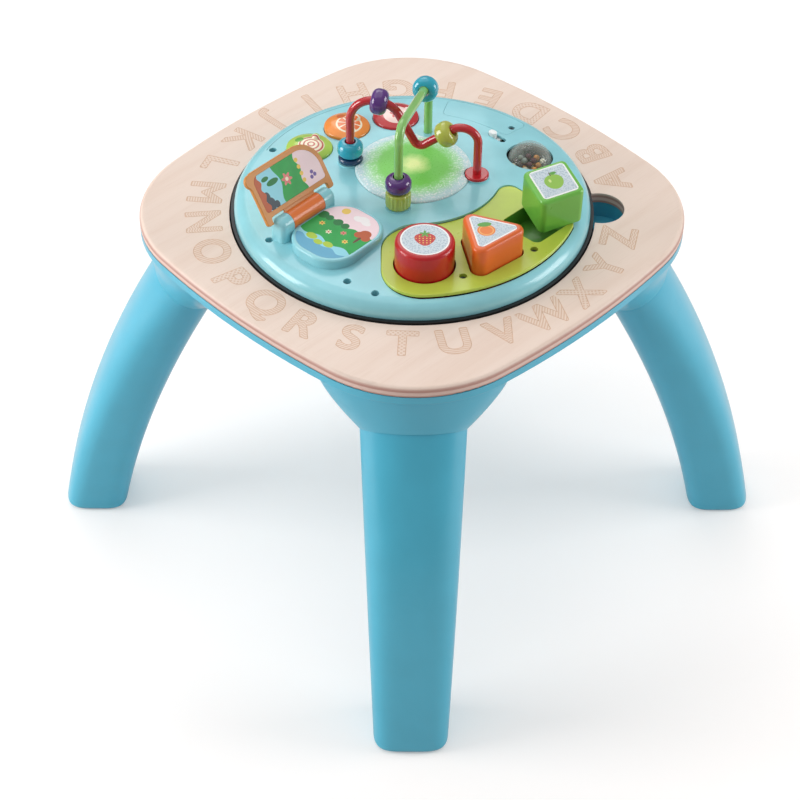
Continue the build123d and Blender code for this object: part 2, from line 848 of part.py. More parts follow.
def lens_profile(inset):
    """Half section of the lens about the light's axis, drawn in by its wall."""
    edge = lens_radius - inset
    brow = (edge, lens_edge_z - inset)
    crown = (lens_flat, lens_crown_z - inset)
    middle = ((edge + lens_flat) / 2, lens_edge_z - inset + 0.75 * (lens_crown_z - lens_edge_z))
    with BuildLine() as outline:
        Polyline(crown, (0, lens_crown_z - inset), (0, lens_seat_z), (edge, lens_seat_z), brow)
        ThreePointArc(brow, middle, crown)
    return outline.edges()


light_plane = Plane((light_x, light_y, 0), x_dir=(1, 0, 0), z_dir=(0, -1, 0))
with BuildPart() as light_lens:
    with BuildSketch(light_plane):
        make_face(lens_profile(0))
        make_face(lens_profile(lens_wall), mode=Mode.SUBTRACT)
    revolve(axis=Axis((light_x, light_y, 0), (0, 0, 1)))
    hoops = light_lens.edges().filter_by(lambda edge: edge.is_closed).group_by(SortBy.RADIUS)[-1]
    fillet(hoops.sort_by(Axis.Z)[-1], lens_wall)
    columns(pad_under_z, high_z, pad_radius + fit_gap, wire_feet, Mode.SUBTRACT)
save(light_lens, "light_lens")

led_steps = [polar(led_board_radius / 2, 90 + 120 * i) for i in range(3)]
led_places = [(light_x + x, light_y + y) for x, y in led_steps]
led_z = led_board_z + board_thickness
with BuildPart() as led_board:
    columns(led_board_z, led_z, led_board_radius, [light_place])
    columns(led_z, led_z + led_radius, led_radius, led_places)
    fillet(led_board.faces().sort_by(Axis.Z)[-3:].edges(), 0.8 * led_radius)
save(led_board, "led_board")

# Bead maze


def wire_plane(azimuth):
    """Upright plane through the light's axis; local x runs along the wire and local y is height."""
    along = Vector(*polar(1, azimuth))
    return Plane((light_x, light_y, 0), x_dir=along, z_dir=along.cross(Vector(0, 0, 1)))


def sine(turn):
    """Sine of an angle in degrees."""
    return math.sin(math.radians(turn))


def cosine(turn):
    """Cosine of an angle in degrees."""
    return math.cos(math.radians(turn))


tail_z = pad_under_z - nut_height - wire_tail
red_drop_slope = 90 - red_arch_turn
red_rise_slope = red_drop_slope + red_dip_turn
red_rise = (
    2 * foot_ring
    - red_arch_radius * (1 - sine(red_drop_slope))
    - red_drop * cosine(red_drop_slope)
    - red_dip_radius * (sine(red_rise_slope) - sine(red_drop_slope))
    - red_hump_radius * (sine(red_rise_slope) + 1)
) / cosine(red_rise_slope)
green_span = (
    2 * foot_ring
    - green_front_radius * (1 + sine(green_slope))
    - green_back_radius * (1 - sine(green_slope))
) / cosine(green_slope)
red_arch_z = pad_z + red_arch_foot - pad_rise
green_bend_z = pad_z + green_front_height - pad_rise

with BuildPart() as red_wire:
    columns(pad_z, pad_z + flange_height, flange_radius, wire_feet[:1])
    fillet(red_wire.edges().sort_by(Axis.Z)[-1], flange_height / 2)
    with BuildLine(wire_plane(red_azimuth)) as red_path:
        left_leg = Line((-foot_ring, tail_z), (-foot_ring, red_arch_z))
        arch = JernArc(left_leg @ 1, left_leg % 1, red_arch_radius, -red_arch_turn)
        drop = Line(arch @ 1, arch @ 1 + (arch % 1) * red_drop)
        dip = JernArc(drop @ 1, drop % 1, red_dip_radius, red_dip_turn)
        rise = Line(dip @ 1, dip @ 1 + (dip % 1) * red_rise)
        hump = JernArc(rise @ 1, rise % 1, red_hump_radius, -90 - red_rise_slope)
        Line(hump @ 1, (foot_ring, tail_z))
    with BuildSketch(Plane(left_leg @ 0, z_dir=left_leg % 0)):
        Circle(wire_radius)
    sweep()
save(red_wire, "red_wire")

with BuildPart() as green_wire:
    with BuildLine(wire_plane(green_azimuth)) as green_path:
        front_leg = Line((-foot_ring, tail_z), (-foot_ring, green_bend_z))
        bend = JernArc(front_leg @ 1, front_leg % 1, green_front_radius, -90 - green_slope)
        slope = Line(bend @ 1, bend @ 1 + (bend % 1) * green_span)
        turn = JernArc(slope @ 1, slope % 1, green_back_radius, green_slope - 90)
        Line(turn @ 1, (foot_ring, tail_z))
    with BuildSketch(Plane(front_leg @ 0, z_dir=front_leg % 0)):
        Circle(wire_radius)
    sweep()
save(green_wire, "green_wire")

with BuildPart() as maze_nuts:
    with BuildSketch(Plane.XY.offset(pad_under_z - nut_height)):
        with Locations(*wire_feet):
            RegularPolygon(nut_radius, 6)
            Circle(wire_radius, mode=Mode.SUBTRACT)
    extrude(amount=nut_height)
save(maze_nuts, "maze_nuts")


def make_bead(start, heading, radius, length, rounding):
    """A bored bead that begins at a point on a wire and runs along a heading."""
    with BuildPart() as bead:
        with BuildSketch(Plane(start, z_dir=heading)):
            Circle(radius)
        extrude(amount=length)
        fillet(bead.edges().filter_by(GeomType.CIRCLE), rounding)
        with BuildSketch(Plane(start, z_dir=heading)):
            Circle(bead_bore)
        extrude(amount=length, mode=Mode.SUBTRACT)
    return bead


up = Vector(0, 0, 1)
red_left_foot = Vector(*wire_feet[1], pad_z)
green_front_foot = Vector(*wire_feet[3], pad_z)
disc_start = red_left_foot + up * bead_rest_gap
save(make_bead(disc_start, up, disc_bead_radius, disc_bead_length, disc_bead_length * 0.4), "bead_navy")
teal_start = disc_start + up * (disc_bead_length + bead_rest_gap)
save(make_bead(teal_start, up, bead_radius, bead_length, bead_round), "bead_teal_low")
cup_start = green_front_foot + up * bead_rest_gap
save(make_bead(cup_start, up, cup_bead_radius, cup_bead_length, cup_bead_round), "bead_lime")
purple_start = cup_start + up * (cup_bead_length + bead_rest_gap)
save(make_bead(purple_start, up, bead_radius, bead_length, bead_round), "bead_purple_front")
arch_share = (90 + arch_bead_turn) / red_arch_turn
arch_inward = (arch % arch_share).cross(wire_plane(red_azimuth).z_dir)
arch_start = arch @ arch_share + arch_inward * bead_bore_slack / 2 - (arch % arch_share) * bead_length / 2
save(make_bead(arch_start, arch % arch_share, bead_radius, bead_length, bead_round), "bead_purple_arch")
# A bead on a slope hangs on the wire, so its bore sits lower than the wire's middle
bead_sag = bead_bore_slack - bead_rest_gap
olive_sag = (rise % 1).cross(wire_plane(red_azimuth).z_dir) * bead_sag
olive_start = rise @ 1 - (rise % 1) * bead_length + olive_sag
save(make_bead(olive_start, rise % 1, bead_radius, bead_length, bead_round), "bead_olive")
back_sag = (slope % 1).cross(wire_plane(green_azimuth).z_dir) * bead_sag
back_start = slope @ 1 - (slope % 1) * bead_length + back_sag
save(make_bead(back_start, slope % 1, bead_radius, bead_length, bead_round), "bead_teal_back")

# Flip book
leaf_out = Vector(*polar(1, barrel_turn + 90)) * cosine(leaf_tilt) + up * sine(leaf_tilt)
leaf_face = barrel_dir.cross(leaf_out)
leaf_plane = Plane(barrel_place, x_dir=barrel_dir, z_dir=leaf_face)


def leaf_outline(inset, low):
    """Outline of the leaf above a level, drawn in by an inset, with one big far corner."""
    left = leaf_left + inset
    right = leaf_right - inset
    high = leaf_end - inset
    with Locations(((left + right) / 2, (low + high) / 2)):
        Rectangle(right - left, high - low)
    fillet(vertices().group_by(Axis.Y)[-1].sort_by(Axis.X)[-1], leaf_far_corner - inset)
    fillet(vertices().group_by(Axis.Y)[-1].sort_by(Axis.X)[0], leaf_near_corner)
    fillet(vertices().group_by(Axis.Y)[0], leaf_root_corner)


leaf_notch = 2 * (lug_face + lug_length + leaf_notch_gap)
leaf_tab_place = (leaf_left + leaf_tab_radius / 2, leaf_end - leaf_tab_radius - 1)
with BuildPart() as page_leaf:
    with BuildSketch(leaf_plane):
        leaf_outline(0, leaf_root)
        with Locations(leaf_tab_place):
            Circle(leaf_tab_radius)
        with Locations((0, leaf_start / 2)):
            Rectangle(leaf_notch, leaf_start, mode=Mode.SUBTRACT)
        offset(amount=leaf_root_corner)
        offset(amount=-leaf_root_corner)
    extrude(amount=leaf_thickness / 2, both=True)
    fillet(page_leaf.faces().filter_by(Axis((0, 0, 0), leaf_face)).edges(), leaf_thickness / 5)
    for side in (-1, 1):
        with BuildSketch(leaf_plane.offset(side * (leaf_thickness / 2 - picture_depth))):
            leaf_outline(leaf_frame, leaf_start + leaf_frame)
        extrude(amount=side * picture_depth, mode=Mode.SUBTRACT)
    with BuildSketch(leaf_plane):
        with Locations((0, (leaf_tongue + leaf_start + leaf_frame) / 2)):
            Rectangle(barrel_length - 4 * lug_gap, leaf_start + leaf_frame - leaf_tongue)
    extrude(amount=leaf_thickness / 2 - picture_depth, both=True)
save(page_leaf, "page_leaf")

with BuildPart() as page_pictures:
    for side in (-1, 1):
        with BuildSketch(leaf_plane.offset(side * (leaf_thickness / 2 - picture_depth))):
            leaf_outline(leaf_frame + fit_gap / 2, leaf_start + leaf_frame + fit_gap / 2)
        extrude(amount=side * picture_depth)
save(page_pictures, "page_pictures")

with BuildPart() as page_barrel:
    with BuildSketch(Plane(barrel_place, z_dir=barrel_dir)):
        Circle(barrel_radius)
        Circle(pin_radius + pin_slack, mode=Mode.SUBTRACT)
    extrude(amount=barrel_length / 2, both=True)
    with BuildSketch(leaf_plane):
        with Locations((0, leaf_tongue + barrel_radius / 2)):
            Rectangle(barrel_length - 4 * lug_gap, barrel_radius)
    extrude(amount=leaf_thickness / 2 - picture_depth, both=True, mode=Mode.SUBTRACT)
save(page_barrel, "page_barrel")

with BuildPart() as page_pin:
    with BuildSketch(Plane(barrel_place, z_dir=barrel_dir)):
        Circle(pin_radius)
    extrude(amount=lug_face + pin_grip, both=True)
save(page_pin, "page_pin")

with BuildPart() as book_picture:
    with BuildSketch(book_plane.offset(platform_z - picture_depth)):
        pad_outline(0)
    extrude(amount=picture_depth)
save(book_picture, "book_picture")

# Shape sorter and its blocks


def red_outline(margin):
    """Round outline of the red block, grown by a margin."""
    with Locations((red_block_x, red_block_y)):
        Circle(red_block_radius + margin)


def orange_outline(margin):
    """Rounded triangle of the orange block, grown by a margin."""
    with Locations((orange_block_x, orange_block_y)):
        RegularPolygon(orange_block_reach + 2 * margin, 3, rotation=orange_block_turn)
    fillet(vertices(), orange_block_corner + margin)


def green_outline(margin):
    """Rounded square of the green recess, grown by a margin."""
    with Locations(Location((green_pocket_x, green_pocket_y), green_pocket_turn)):
        width = green_block_width + 2 * margin
        RectangleRounded(width, width, green_block_corner + margin)


with BuildPart() as sorter_tray:
    with BuildSketch(Plane.XY.offset(sorter_z - sorter_plate)):
        sorter_outline(0)
    extrude(amount=sorter_plate)
    fillet(sorter_tray.faces().sort_by(Axis.Z)[-1].edges(), sorter_plate / 3)
    for outline in (red_outline, orange_outline, green_outline):
        with BuildSketch(Plane.XY.offset(pocket_floor_z - pocket_wall)):
            outline(block_slack + pocket_wall)
        extrude(amount=pocket_drop - sorter_plate + pocket_wall)
    columns(sorter_boss_z, sorter_z - sorter_plate, boss_radius, sorter_screws)
    for outline in (red_outline, orange_outline, green_outline):
        with BuildSketch(Plane.XY.offset(pocket_floor_z)):
            outline(block_slack)
        extrude(amount=pocket_drop, mode=Mode.SUBTRACT)
    columns(sorter_well_z, sorter_z, well_radius, sorter_screws, Mode.SUBTRACT)
    columns(sorter_boss_z, sorter_z, panel_screw_hole, sorter_screws, Mode.SUBTRACT)
save(sorter_tray, "sorter_tray")


def make_block(plane, outline, height):
    """A hollow block, open below, with a rounded top edge."""
    with BuildPart() as block:
        with BuildSketch(plane):
            outline(0)
        extrude(amount=height)
        fillet(block.faces().sort_by(Axis(plane.origin, plane.z_dir))[-1].edges(), block_edge)
        with BuildSketch(plane):
            outline(-block_wall)
        extrude(amount=height - block_wall, mode=Mode.SUBTRACT)
    return block


def loose_square(margin):
    """Rounded square of the green block about its own middle, grown by a margin."""
    width = green_block_width + 2 * margin
    RectangleRounded(width, width, green_block_corner + margin)


pocket_plane = Plane.XY.offset(pocket_floor_z)
green_x, green_y, green_rise = green_rest
green_plane = Plane((green_x, green_y, top_z + green_rise), x_dir=green_rest_side, z_dir=green_rest_up)
save(make_block(pocket_plane, red_outline, block_height), "block_red")
save(make_block(pocket_plane, orange_outline, block_height), "block_orange")
save(make_block(green_plane, loose_square, green_block_height), "block_green")

# Push buttons, their mat and the main board
button_crown_z = button_seat_z + button_crown_rise
button_edge_z = button_seat_z + button_edge_rise
flange_z = button_seat_z - button_flange_drop


def make_button(place, turn):
    """A domed hollow button with a retaining flange, a stem for its switch and a raised dot."""
    dot_x, dot_y = polar(button_dot_shift, turn)
    with BuildPart() as button:
        with BuildSketch(Plane((*place, 0), x_dir=(1, 0, 0), z_dir=(0, -1, 0))):
            with BuildLine():
                Polyline(
                    (button_flat, button_crown_z),
                    (0, button_crown_z),
                    (0, flange_z - button_wall),
                    (button_radius + button_flange, flange_z - button_wall),
                    (button_radius + button_flange, flange_z),
                    (button_radius, flange_z),
                    (button_radius, button_edge_z),
                )
                middle_x = (button_radius + button_flat) / 2
                middle = (middle_x, button_edge_z + 0.75 * (button_crown_z - button_edge_z))
                ThreePointArc((button_radius, button_edge_z), middle, (button_flat, button_crown_z))
            make_face()
        revolve(axis=Axis((*place, 0), (0, 0, 1)))
        brow = button.edges().filter_by(lambda edge: edge.is_closed).sort_by(Axis.Z)[-2]
        fillet(brow, button_wall)
        hollow = (flange_z - button_wall, button_edge_z - button_wall, button_radius - button_wall)
        columns(*hollow, [place], Mode.SUBTRACT)
        columns(button_seat_z - stem_drop, button_edge_z, stem_radius, [place])
        with Locations((place[0] + dot_x, place[1] + dot_y, button_crown_z - button_dot_rise)):
            Sphere(button_dot_radius)
    return button


for name, place, i in zip(button_names, button_places, range(len(button_names))):
    save(make_button(place, button_start + i * button_step - 90), f"button_{name}")


def board_outline():
    """Sector of a ring under the three buttons."""
    ends = [
        Vector(*polar(board_outer_radius, board_start)),
        Vector(*polar(board_outer_radius, board_end)),
        Vector(*polar(board_inner_radius, board_end)),
        Vector(*polar(board_inner_radius, board_start)),
    ]
    middle = (board_start + board_end) / 2
    arcs = (Vector(*polar(board_outer_radius, middle)), Vector(*polar(board_inner_radius, middle)))
    ring_outline(ends, arcs)


with BuildPart() as main_board:
    with BuildSketch(Plane.XY.offset(board_z)):
        board_outline()
        with Locations(*board_posts):
            Circle(peg_radius + wire_hole_slack, mode=Mode.SUBTRACT)
    extrude(amount=board_thickness)
save(main_board, "main_board")

with BuildPart() as button_mat:
    with BuildSketch(Plane.XY.offset(board_z + board_thickness)):
        board_outline()
    extrude(amount=mat_thickness)
    columns(mat_top_z, mat_top_z + mat_dome_rise, mat_dome_radius, button_places)
    fillet(button_mat.faces().sort_by(Axis.Z)[-3:].edges(), mat_dome_rise / 2)
save(button_mat, "button_mat")

# Rattle ball
ball_centre = Vector(ball_x, ball_y, ball_z)
axle_plane = Plane(ball_centre, x_dir=(0, 0, 1), z_dir=axle_dir)


def make_ball_half(side):
    """Half of a hollow ball with its stub axle."""
    with BuildPart() as half:
        with Locations(ball_centre):
            Sphere(ball_radius)
            Sphere(ball_radius - ball_wall, mode=Mode.SUBTRACT)
        split(bisect_by=axle_plane, keep=Keep.TOP if side > 0 else Keep.BOTTOM)
        with BuildSketch(axle_plane.offset(side * (ball_radius - ball_wall / 2))):
            Circle(axle_radius)
        extrude(amount=side * (axle_length + ball_wall / 2))
    return half


save(make_ball_half(1), "ball_half_a")
save(make_ball_half(-1), "ball_half_b")

rattle_ring = ball_radius / 3
rattle_reach = ball_radius - ball_wall - rattle_radius
rattle_z = ball_z - math.sqrt(rattle_reach**2 - rattle_ring**2) + fit_gap
with BuildPart() as ball_beads:
    with Locations((ball_x, ball_y, rattle_z)):
        with PolarLocations(rattle_ring, rattle_count - 1):
            Sphere(rattle_radius)
    with Locations((ball_x, ball_y, ball_z - rattle_reach + fit_gap)):
        Sphere(rattle_radius)
save(ball_beads, "ball_beads")

cradle_plane = Plane((ball_x, ball_y, tub_floor_z), x_dir=axle_dir, z_dir=(0, 0, 1))
ear_inner = ball_radius + ear_gap
ear_height = ball_z - tub_floor_z + ear_crown
with BuildPart() as ball_cradle:
    with BuildSketch(cradle_plane):
        Rectangle(2 * (ear_inner + ear_thickness), 2 * ear_half_width)
    extrude(amount=ear_thickness)
    for side in (-1, 1):
        with BuildSketch(axle_plane.offset(side * ear_inner)):
            with Locations((ear_crown - ear_height / 2, 0)):
                Rectangle(ear_height, 2 * ear_half_width)
            Circle(axle_radius + axle_slack, mode=Mode.SUBTRACT)
        extrude(amount=side * ear_thickness)
save(ball_cradle, "ball_cradle")

# Battery bay, cells, contacts and cover
with BuildPart() as battery_box:
    with BuildSketch(bay_plane.offset(bay_floor_z - bay_wall)):
        Rectangle(bay_width + 2 * bay_wall, bay_length + 2 * bay_wall)
    extrude(amount=bay_height)
    with BuildSketch(bay_plane.offset(bay_floor_z)):
        Rectangle(bay_width, bay_length)
    extrude(amount=bay_height, mode=Mode.SUBTRACT)
save(battery_box, "battery_box")

cell_offset = cell_radius + bay_slack / 2
cell_z = bay_floor_z + cell_radius
cell_start = -bay_length / 2 + contact_thickness + bay_slack
with BuildPart() as battery_cells:
    for side in (-1, 1):
        spot = bay_plane.from_local_coords(Vector(side * cell_offset, side * cell_start, cell_z))
        with BuildSketch(Plane(spot, z_dir=bay_plane.y_dir * -side)):
            Circle(cell_radius)
        extrude(amount=-cell_length)
        heading = bay_plane.y_dir * side
        with BuildSketch(Plane(spot + heading * cell_length, z_dir=heading)):
            Circle(cell_nub_radius)
        extrude(amount=cell_nub_length)
save(battery_cells, "battery_cells")

with BuildPart() as battery_contacts:
    with BuildSketch(bay_plane.offset(bay_floor_z)):
        for x in (-1, 1):
            for y in (-1, 1):
                with Locations((x * cell_offset, y * (bay_length - contact_thickness) / 2)):
                    Rectangle(2 * contact_half_width, contact_thickness)
    extrude(amount=contact_height)
save(battery_contacts, "battery_contacts")

with BuildPart() as battery_cover:
    add(outer_dome)
    add(inner_dome, mode=Mode.SUBTRACT)
    with BuildSketch(Plane.XY.offset(ledge_z)):
        cover_outline(0)
    extrude(amount=high_z - ledge_z, mode=Mode.INTERSECT)
    columns(cover_boss_z, cover_under_z, cover_boss_radius, [cover_screw_place])
    columns(cover_head_z, high_z, cover_screw_head + fit_gap, [cover_screw_place], Mode.SUBTRACT)
    columns(cover_boss_z, high_z, cover_screw_hole, [cover_screw_place], Mode.SUBTRACT)
save(battery_cover, "battery_cover")

# Slide switch: the knob rests at one end of its slot
knob_rest = -slider_travel / 2
with BuildPart() as mode_slider:
    with BuildSketch(slider_plane.offset(slider_plate_z)):
        with Locations((knob_rest, 0)):
            Rectangle(slider_knob_length + 2 * slider_plate_overlap, slider_width + slider_plate_overlap)
    extrude(amount=slider_plate_thickness)
    with BuildSketch(slider_plane.offset(slider_plate_z)):
        with Locations((knob_rest, 0)):
            SlotOverall(slider_knob_length, slider_width)
    extrude(amount=slider_knob_rise - slider_plate_z)
    fillet(mode_slider.faces().sort_by(Axis.Z)[-1].edges(), slider_knob_rise / 4)
    with BuildSketch(slider_plane.offset(slider_plate_z)):
        with Locations((knob_rest, 0)):
            Rectangle(slider_stem_width, slider_stem_width)
    extrude(amount=-slider_stem_length)
save(mode_slider, "mode_slider")

with BuildPart() as slide_switch:
    with BuildSketch(slider_plane.offset(switch_z - dome_z(slider_ring))):
        Rectangle(switch_length, switch_width)
    extrude(amount=switch_height)
    with BuildSketch(slider_plane.offset(slider_plate_z - slider_stem_length - switch_gap)):
        Rectangle(slider_travel + slider_stem_width + 2 * switch_gap, slider_stem_width + 2 * switch_gap)
    extrude(amount=slider_stem_length, mode=Mode.SUBTRACT)
save(slide_switch, "slide_switch")

# Speaker, face down over the grille
with BuildPart() as speaker:
    columns(tub_floor_z, tub_floor_z + speaker_rim_height, speaker_radius, [(speaker_x, speaker_y)])
    columns(tub_floor_z, tub_floor_z + speaker_height, speaker_magnet_radius, [(speaker_x, speaker_y)])
    columns(
        tub_floor_z,
        tub_floor_z + speaker_rim_height / 2,
        speaker_radius - speaker_rim_height / 2,
        [(speaker_x, speaker_y)],
        Mode.SUBTRACT,
    )
save(speaker, "speaker")
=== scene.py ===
"""Activity table: finishes, print and studio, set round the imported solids."""
import logging
import math
import string
from dataclasses import dataclass, field, replace
from enum import Enum
from typing import Any, Sequence, Union

import bmesh
import bpy
import numpy as np
from mathutils import Matrix, Vector
from mathutils.bvhtree import BVHTree


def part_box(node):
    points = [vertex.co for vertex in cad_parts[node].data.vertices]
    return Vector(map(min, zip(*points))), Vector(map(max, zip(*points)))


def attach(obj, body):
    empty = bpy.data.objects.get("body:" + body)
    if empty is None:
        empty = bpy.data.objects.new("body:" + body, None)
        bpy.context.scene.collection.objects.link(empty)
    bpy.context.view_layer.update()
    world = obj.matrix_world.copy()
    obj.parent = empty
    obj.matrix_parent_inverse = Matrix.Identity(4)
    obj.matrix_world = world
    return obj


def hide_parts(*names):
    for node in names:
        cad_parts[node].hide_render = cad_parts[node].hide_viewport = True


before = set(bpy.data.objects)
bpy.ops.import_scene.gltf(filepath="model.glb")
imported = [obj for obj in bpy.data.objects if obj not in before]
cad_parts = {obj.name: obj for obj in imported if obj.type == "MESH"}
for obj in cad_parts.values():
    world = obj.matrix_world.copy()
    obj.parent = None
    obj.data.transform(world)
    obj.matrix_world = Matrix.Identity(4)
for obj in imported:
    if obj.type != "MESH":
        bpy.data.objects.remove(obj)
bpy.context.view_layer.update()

MM = 0.001
TURN = 2 * math.pi
LOG = logging.getLogger("activity_table")
Colour = tuple[float, float, float]
Point = tuple[float, float]
Triple = tuple[float, float, float]
Term = Union["Field", float]
WHITE: Colour = (1.0, 1.0, 1.0)
BLACK: Colour = (0.0, 0.0, 0.0)
UP: Triple = (0.0, 0.0, 1.0)
WOOD_TOP = 390.0
LETTER_RING = 207.0


def srgb(red: int, green: int, blue: int) -> Colour:
    """Turns display values, 0 to 255, into the linear colour that a shader takes."""
    shares = (value / 255 for value in (red, green, blue))
    return tuple(s / 12.92 if s <= 0.04045 else ((s + 0.055) / 1.055) ** 2.4 for s in shares)


def scaled(colour: Colour, share: float) -> Colour:
    """Multiplies each channel of a linear colour, held below white."""
    return tuple(min(channel * share, 1.0) for channel in colour)


class Field:
    """A shader socket that stands in Python sums."""

    def __init__(self, shade: "Shade", socket: bpy.types.NodeSocket) -> None:
        """Keeps an output socket and the shader that it belongs to."""
        self.shade = shade
        self.socket = socket

    def sum(self, operation: str, *terms: Term) -> "Field":
        """Adds a Math node on fields or numbers, in the order of its sockets."""
        return self.shade.node("ShaderNodeMath", {"operation": operation}, dict(enumerate(terms)))

    def __add__(self, other: Term) -> "Field":
        """This and another added."""
        return self.sum("ADD", self, other)

    def __sub__(self, other: Term) -> "Field":
        """Another taken from this."""
        return self.sum("SUBTRACT", self, other)

    def __rsub__(self, other: Term) -> "Field":
        """This taken from a number."""
        return self.sum("SUBTRACT", other, self)

    def __mul__(self, other: Term) -> "Field":
        """This and another multiplied."""
        return self.sum("MULTIPLY", self, other)

    def __truediv__(self, other: Term) -> "Field":
        """This divided by another."""
        return self.sum("DIVIDE", self, other)

    def __rtruediv__(self, other: Term) -> "Field":
        """A number divided by this."""
        return self.sum("DIVIDE", other, self)

    def __and__(self, other: Term) -> "Field":
        """Where both masks hold."""
        return self.sum("MINIMUM", self, other)

    def __or__(self, other: Term) -> "Field":
        """Where either mask holds."""
        return self.sum("MAXIMUM", self, other)

    def __abs__(self) -> "Field":
        """Size without sign."""
        return self.sum("ABSOLUTE", self)

    __radd__ = __add__
    __rmul__ = __mul__

    def sine(self) -> "Field":
        """Sine of this angle in radians."""
        return self.sum("SINE", self)

    def beside(self, other: Term) -> "Field":
        """Length of the two as legs of a right angle."""
        return self.sum("SQRT", self * self + other * other)

    def bearing(self, across: "Field") -> "Field":
        """Angle of the point whose height this is, in radians."""
        return self.sum("ARCTAN2", self, across)


class Shade:
    """One node tree and the ways to add to it."""

    def __init__(self, owner: Union[bpy.types.Material, bpy.types.World]) -> None:
        """Empties the node tree of a material or a world.

        Args:
            owner: The material or world, which is kept.
        """
        owner.use_nodes = True
        self.owner = owner
        self.tree = owner.node_tree
        self.tree.nodes.clear()

    @classmethod
    def of_material(cls, name: str) -> "Shade":
        """Starts a new material by its name."""
        return cls(bpy.data.materials.new(name))

    def node(self, kind: str, settings: dict[str, Any], sockets: dict[Any, Any], output: Any = 0) -> Field:
        """Adds any node.

        Args:
            kind: The node's type.
            settings: Properties to set first; stops are a ramp's places and colours.
            sockets: Values or fields for its inputs.
            output: Which output to give back.

        Returns:
            The chosen output.
        """
        made = self.tree.nodes.new(kind)
        for key, value in settings.items():
            if key == "stops":
                self._set_stops(made.color_ramp, value)
            else:
                setattr(made, key, value)
        for key, value in sockets.items():
            socket = made.inputs[key]
            if isinstance(value, Field):
                self.tree.links.new(value.socket, socket)
            elif socket.type == "RGBA":
                socket.default_value = (*value, 1.0)
            else:
                socket.default_value = value
        return Field(self, made.outputs[output] if made.outputs else None)

    @staticmethod
    def _set_stops(ramp: bpy.types.ColorRamp, stops: Sequence[tuple[float, Colour]]) -> None:
        """Gives a ramp its colours.

        Args:
            ramp: The ramp.
            stops: Place and colour of each stop, in order.
        """
        while len(ramp.elements) < len(stops):
            ramp.elements.new(1.0)
        for element, (place, colour) in zip(ramp.elements, stops):
            element.position = place
            element.color = (*colour, 1.0)

    def spot(self) -> Field:
        """The point being shaded, in the piece's own frame."""
        return self.node("ShaderNodeTexCoord", {}, {}, "Object")

    def along(self, axis: Sequence[float], origin: Sequence[float] = (0, 0, 0)) -> Field:
        """How far the point lies along an axis.

        Args:
            axis: Unit direction.
            origin: Start of the measure, in millimetres.

        Returns:
            The distance in millimetres.
        """
        ends = {0: self.spot(), 1: tuple(Vector(axis) / MM)}
        reach = self.node("ShaderNodeVectorMath", {"operation": "DOT_PRODUCT"}, ends, "Value")
        return reach - Vector(axis).dot(Vector(origin))

    def away(self, centre: Sequence[float] = (0, 0)) -> Field:
        """How far the point lies from an upright axis, in millimetres."""
        middle = (*centre[:2], 0.0)
        return self.along((1, 0, 0), middle).beside(self.along((0, 1, 0), middle))

    def cloud(self, place: Field, detail: float) -> Field:
        """Cloudy noise about 0.5 at a place, with finer layers as its detail."""
        return self.node("ShaderNodeTexNoise", {}, {"Vector": place, "Scale": 1.0, "Detail": detail})

    def noise(self, size: Union[float, Triple], detail: float = 2.0) -> Field:
        """Cloudy noise in the piece's own frame.

        Args:
            size: Size of a cloud in millimetres, or its sizes along X, Y and Z.
            detail: How many finer layers it has.

        Returns:
            The noise, about 0.5.
        """
        sizes = size if isinstance(size, tuple) else (size,) * 3
        stretch = {0: self.spot(), 1: tuple(1 / (MM * length) for length in sizes)}
        return self.cloud(self.node("ShaderNodeVectorMath", {"operation": "MULTIPLY"}, stretch), detail)

    def smooth(self, value: Field, low: float, high: float) -> Field:
        """A mask that rises softly from 0 to 1 between two levels of a value."""
        ends = {0: value, 1: low, 2: high}
        return self.node("ShaderNodeMapRange", {"interpolation_type": "SMOOTHSTEP"}, ends)

    def mix(self, mask: Term, under: Any, over: Any) -> Field:
        """Lays the upper colour over the lower one, where the mask is."""
        return self.node("ShaderNodeMix", {"data_type": "RGBA"}, {0: mask, 6: under, 7: over}, 2)

    def bump(self, height: Field, depth: float) -> Field:
        """The normal, bent by a height that is a share of a depth in millimetres."""
        sockets = {"Strength": 1.0, "Distance": depth * MM, "Height": height}
        return self.node("ShaderNodeBump", {}, sockets, "Normal")

    def end(self, shader: Field) -> bpy.types.Material:
        """Gives the material its shader, and gives it back."""
        self.node("ShaderNodeOutputMaterial", {}, {"Surface": shader})
        return self.owner

    def surface(self, sockets: dict[str, Any]) -> bpy.types.Material:
        """Ends a material whose surface has these values or fields."""
        return self.end(self.node("ShaderNodeBsdfPrincipled", {}, sockets))


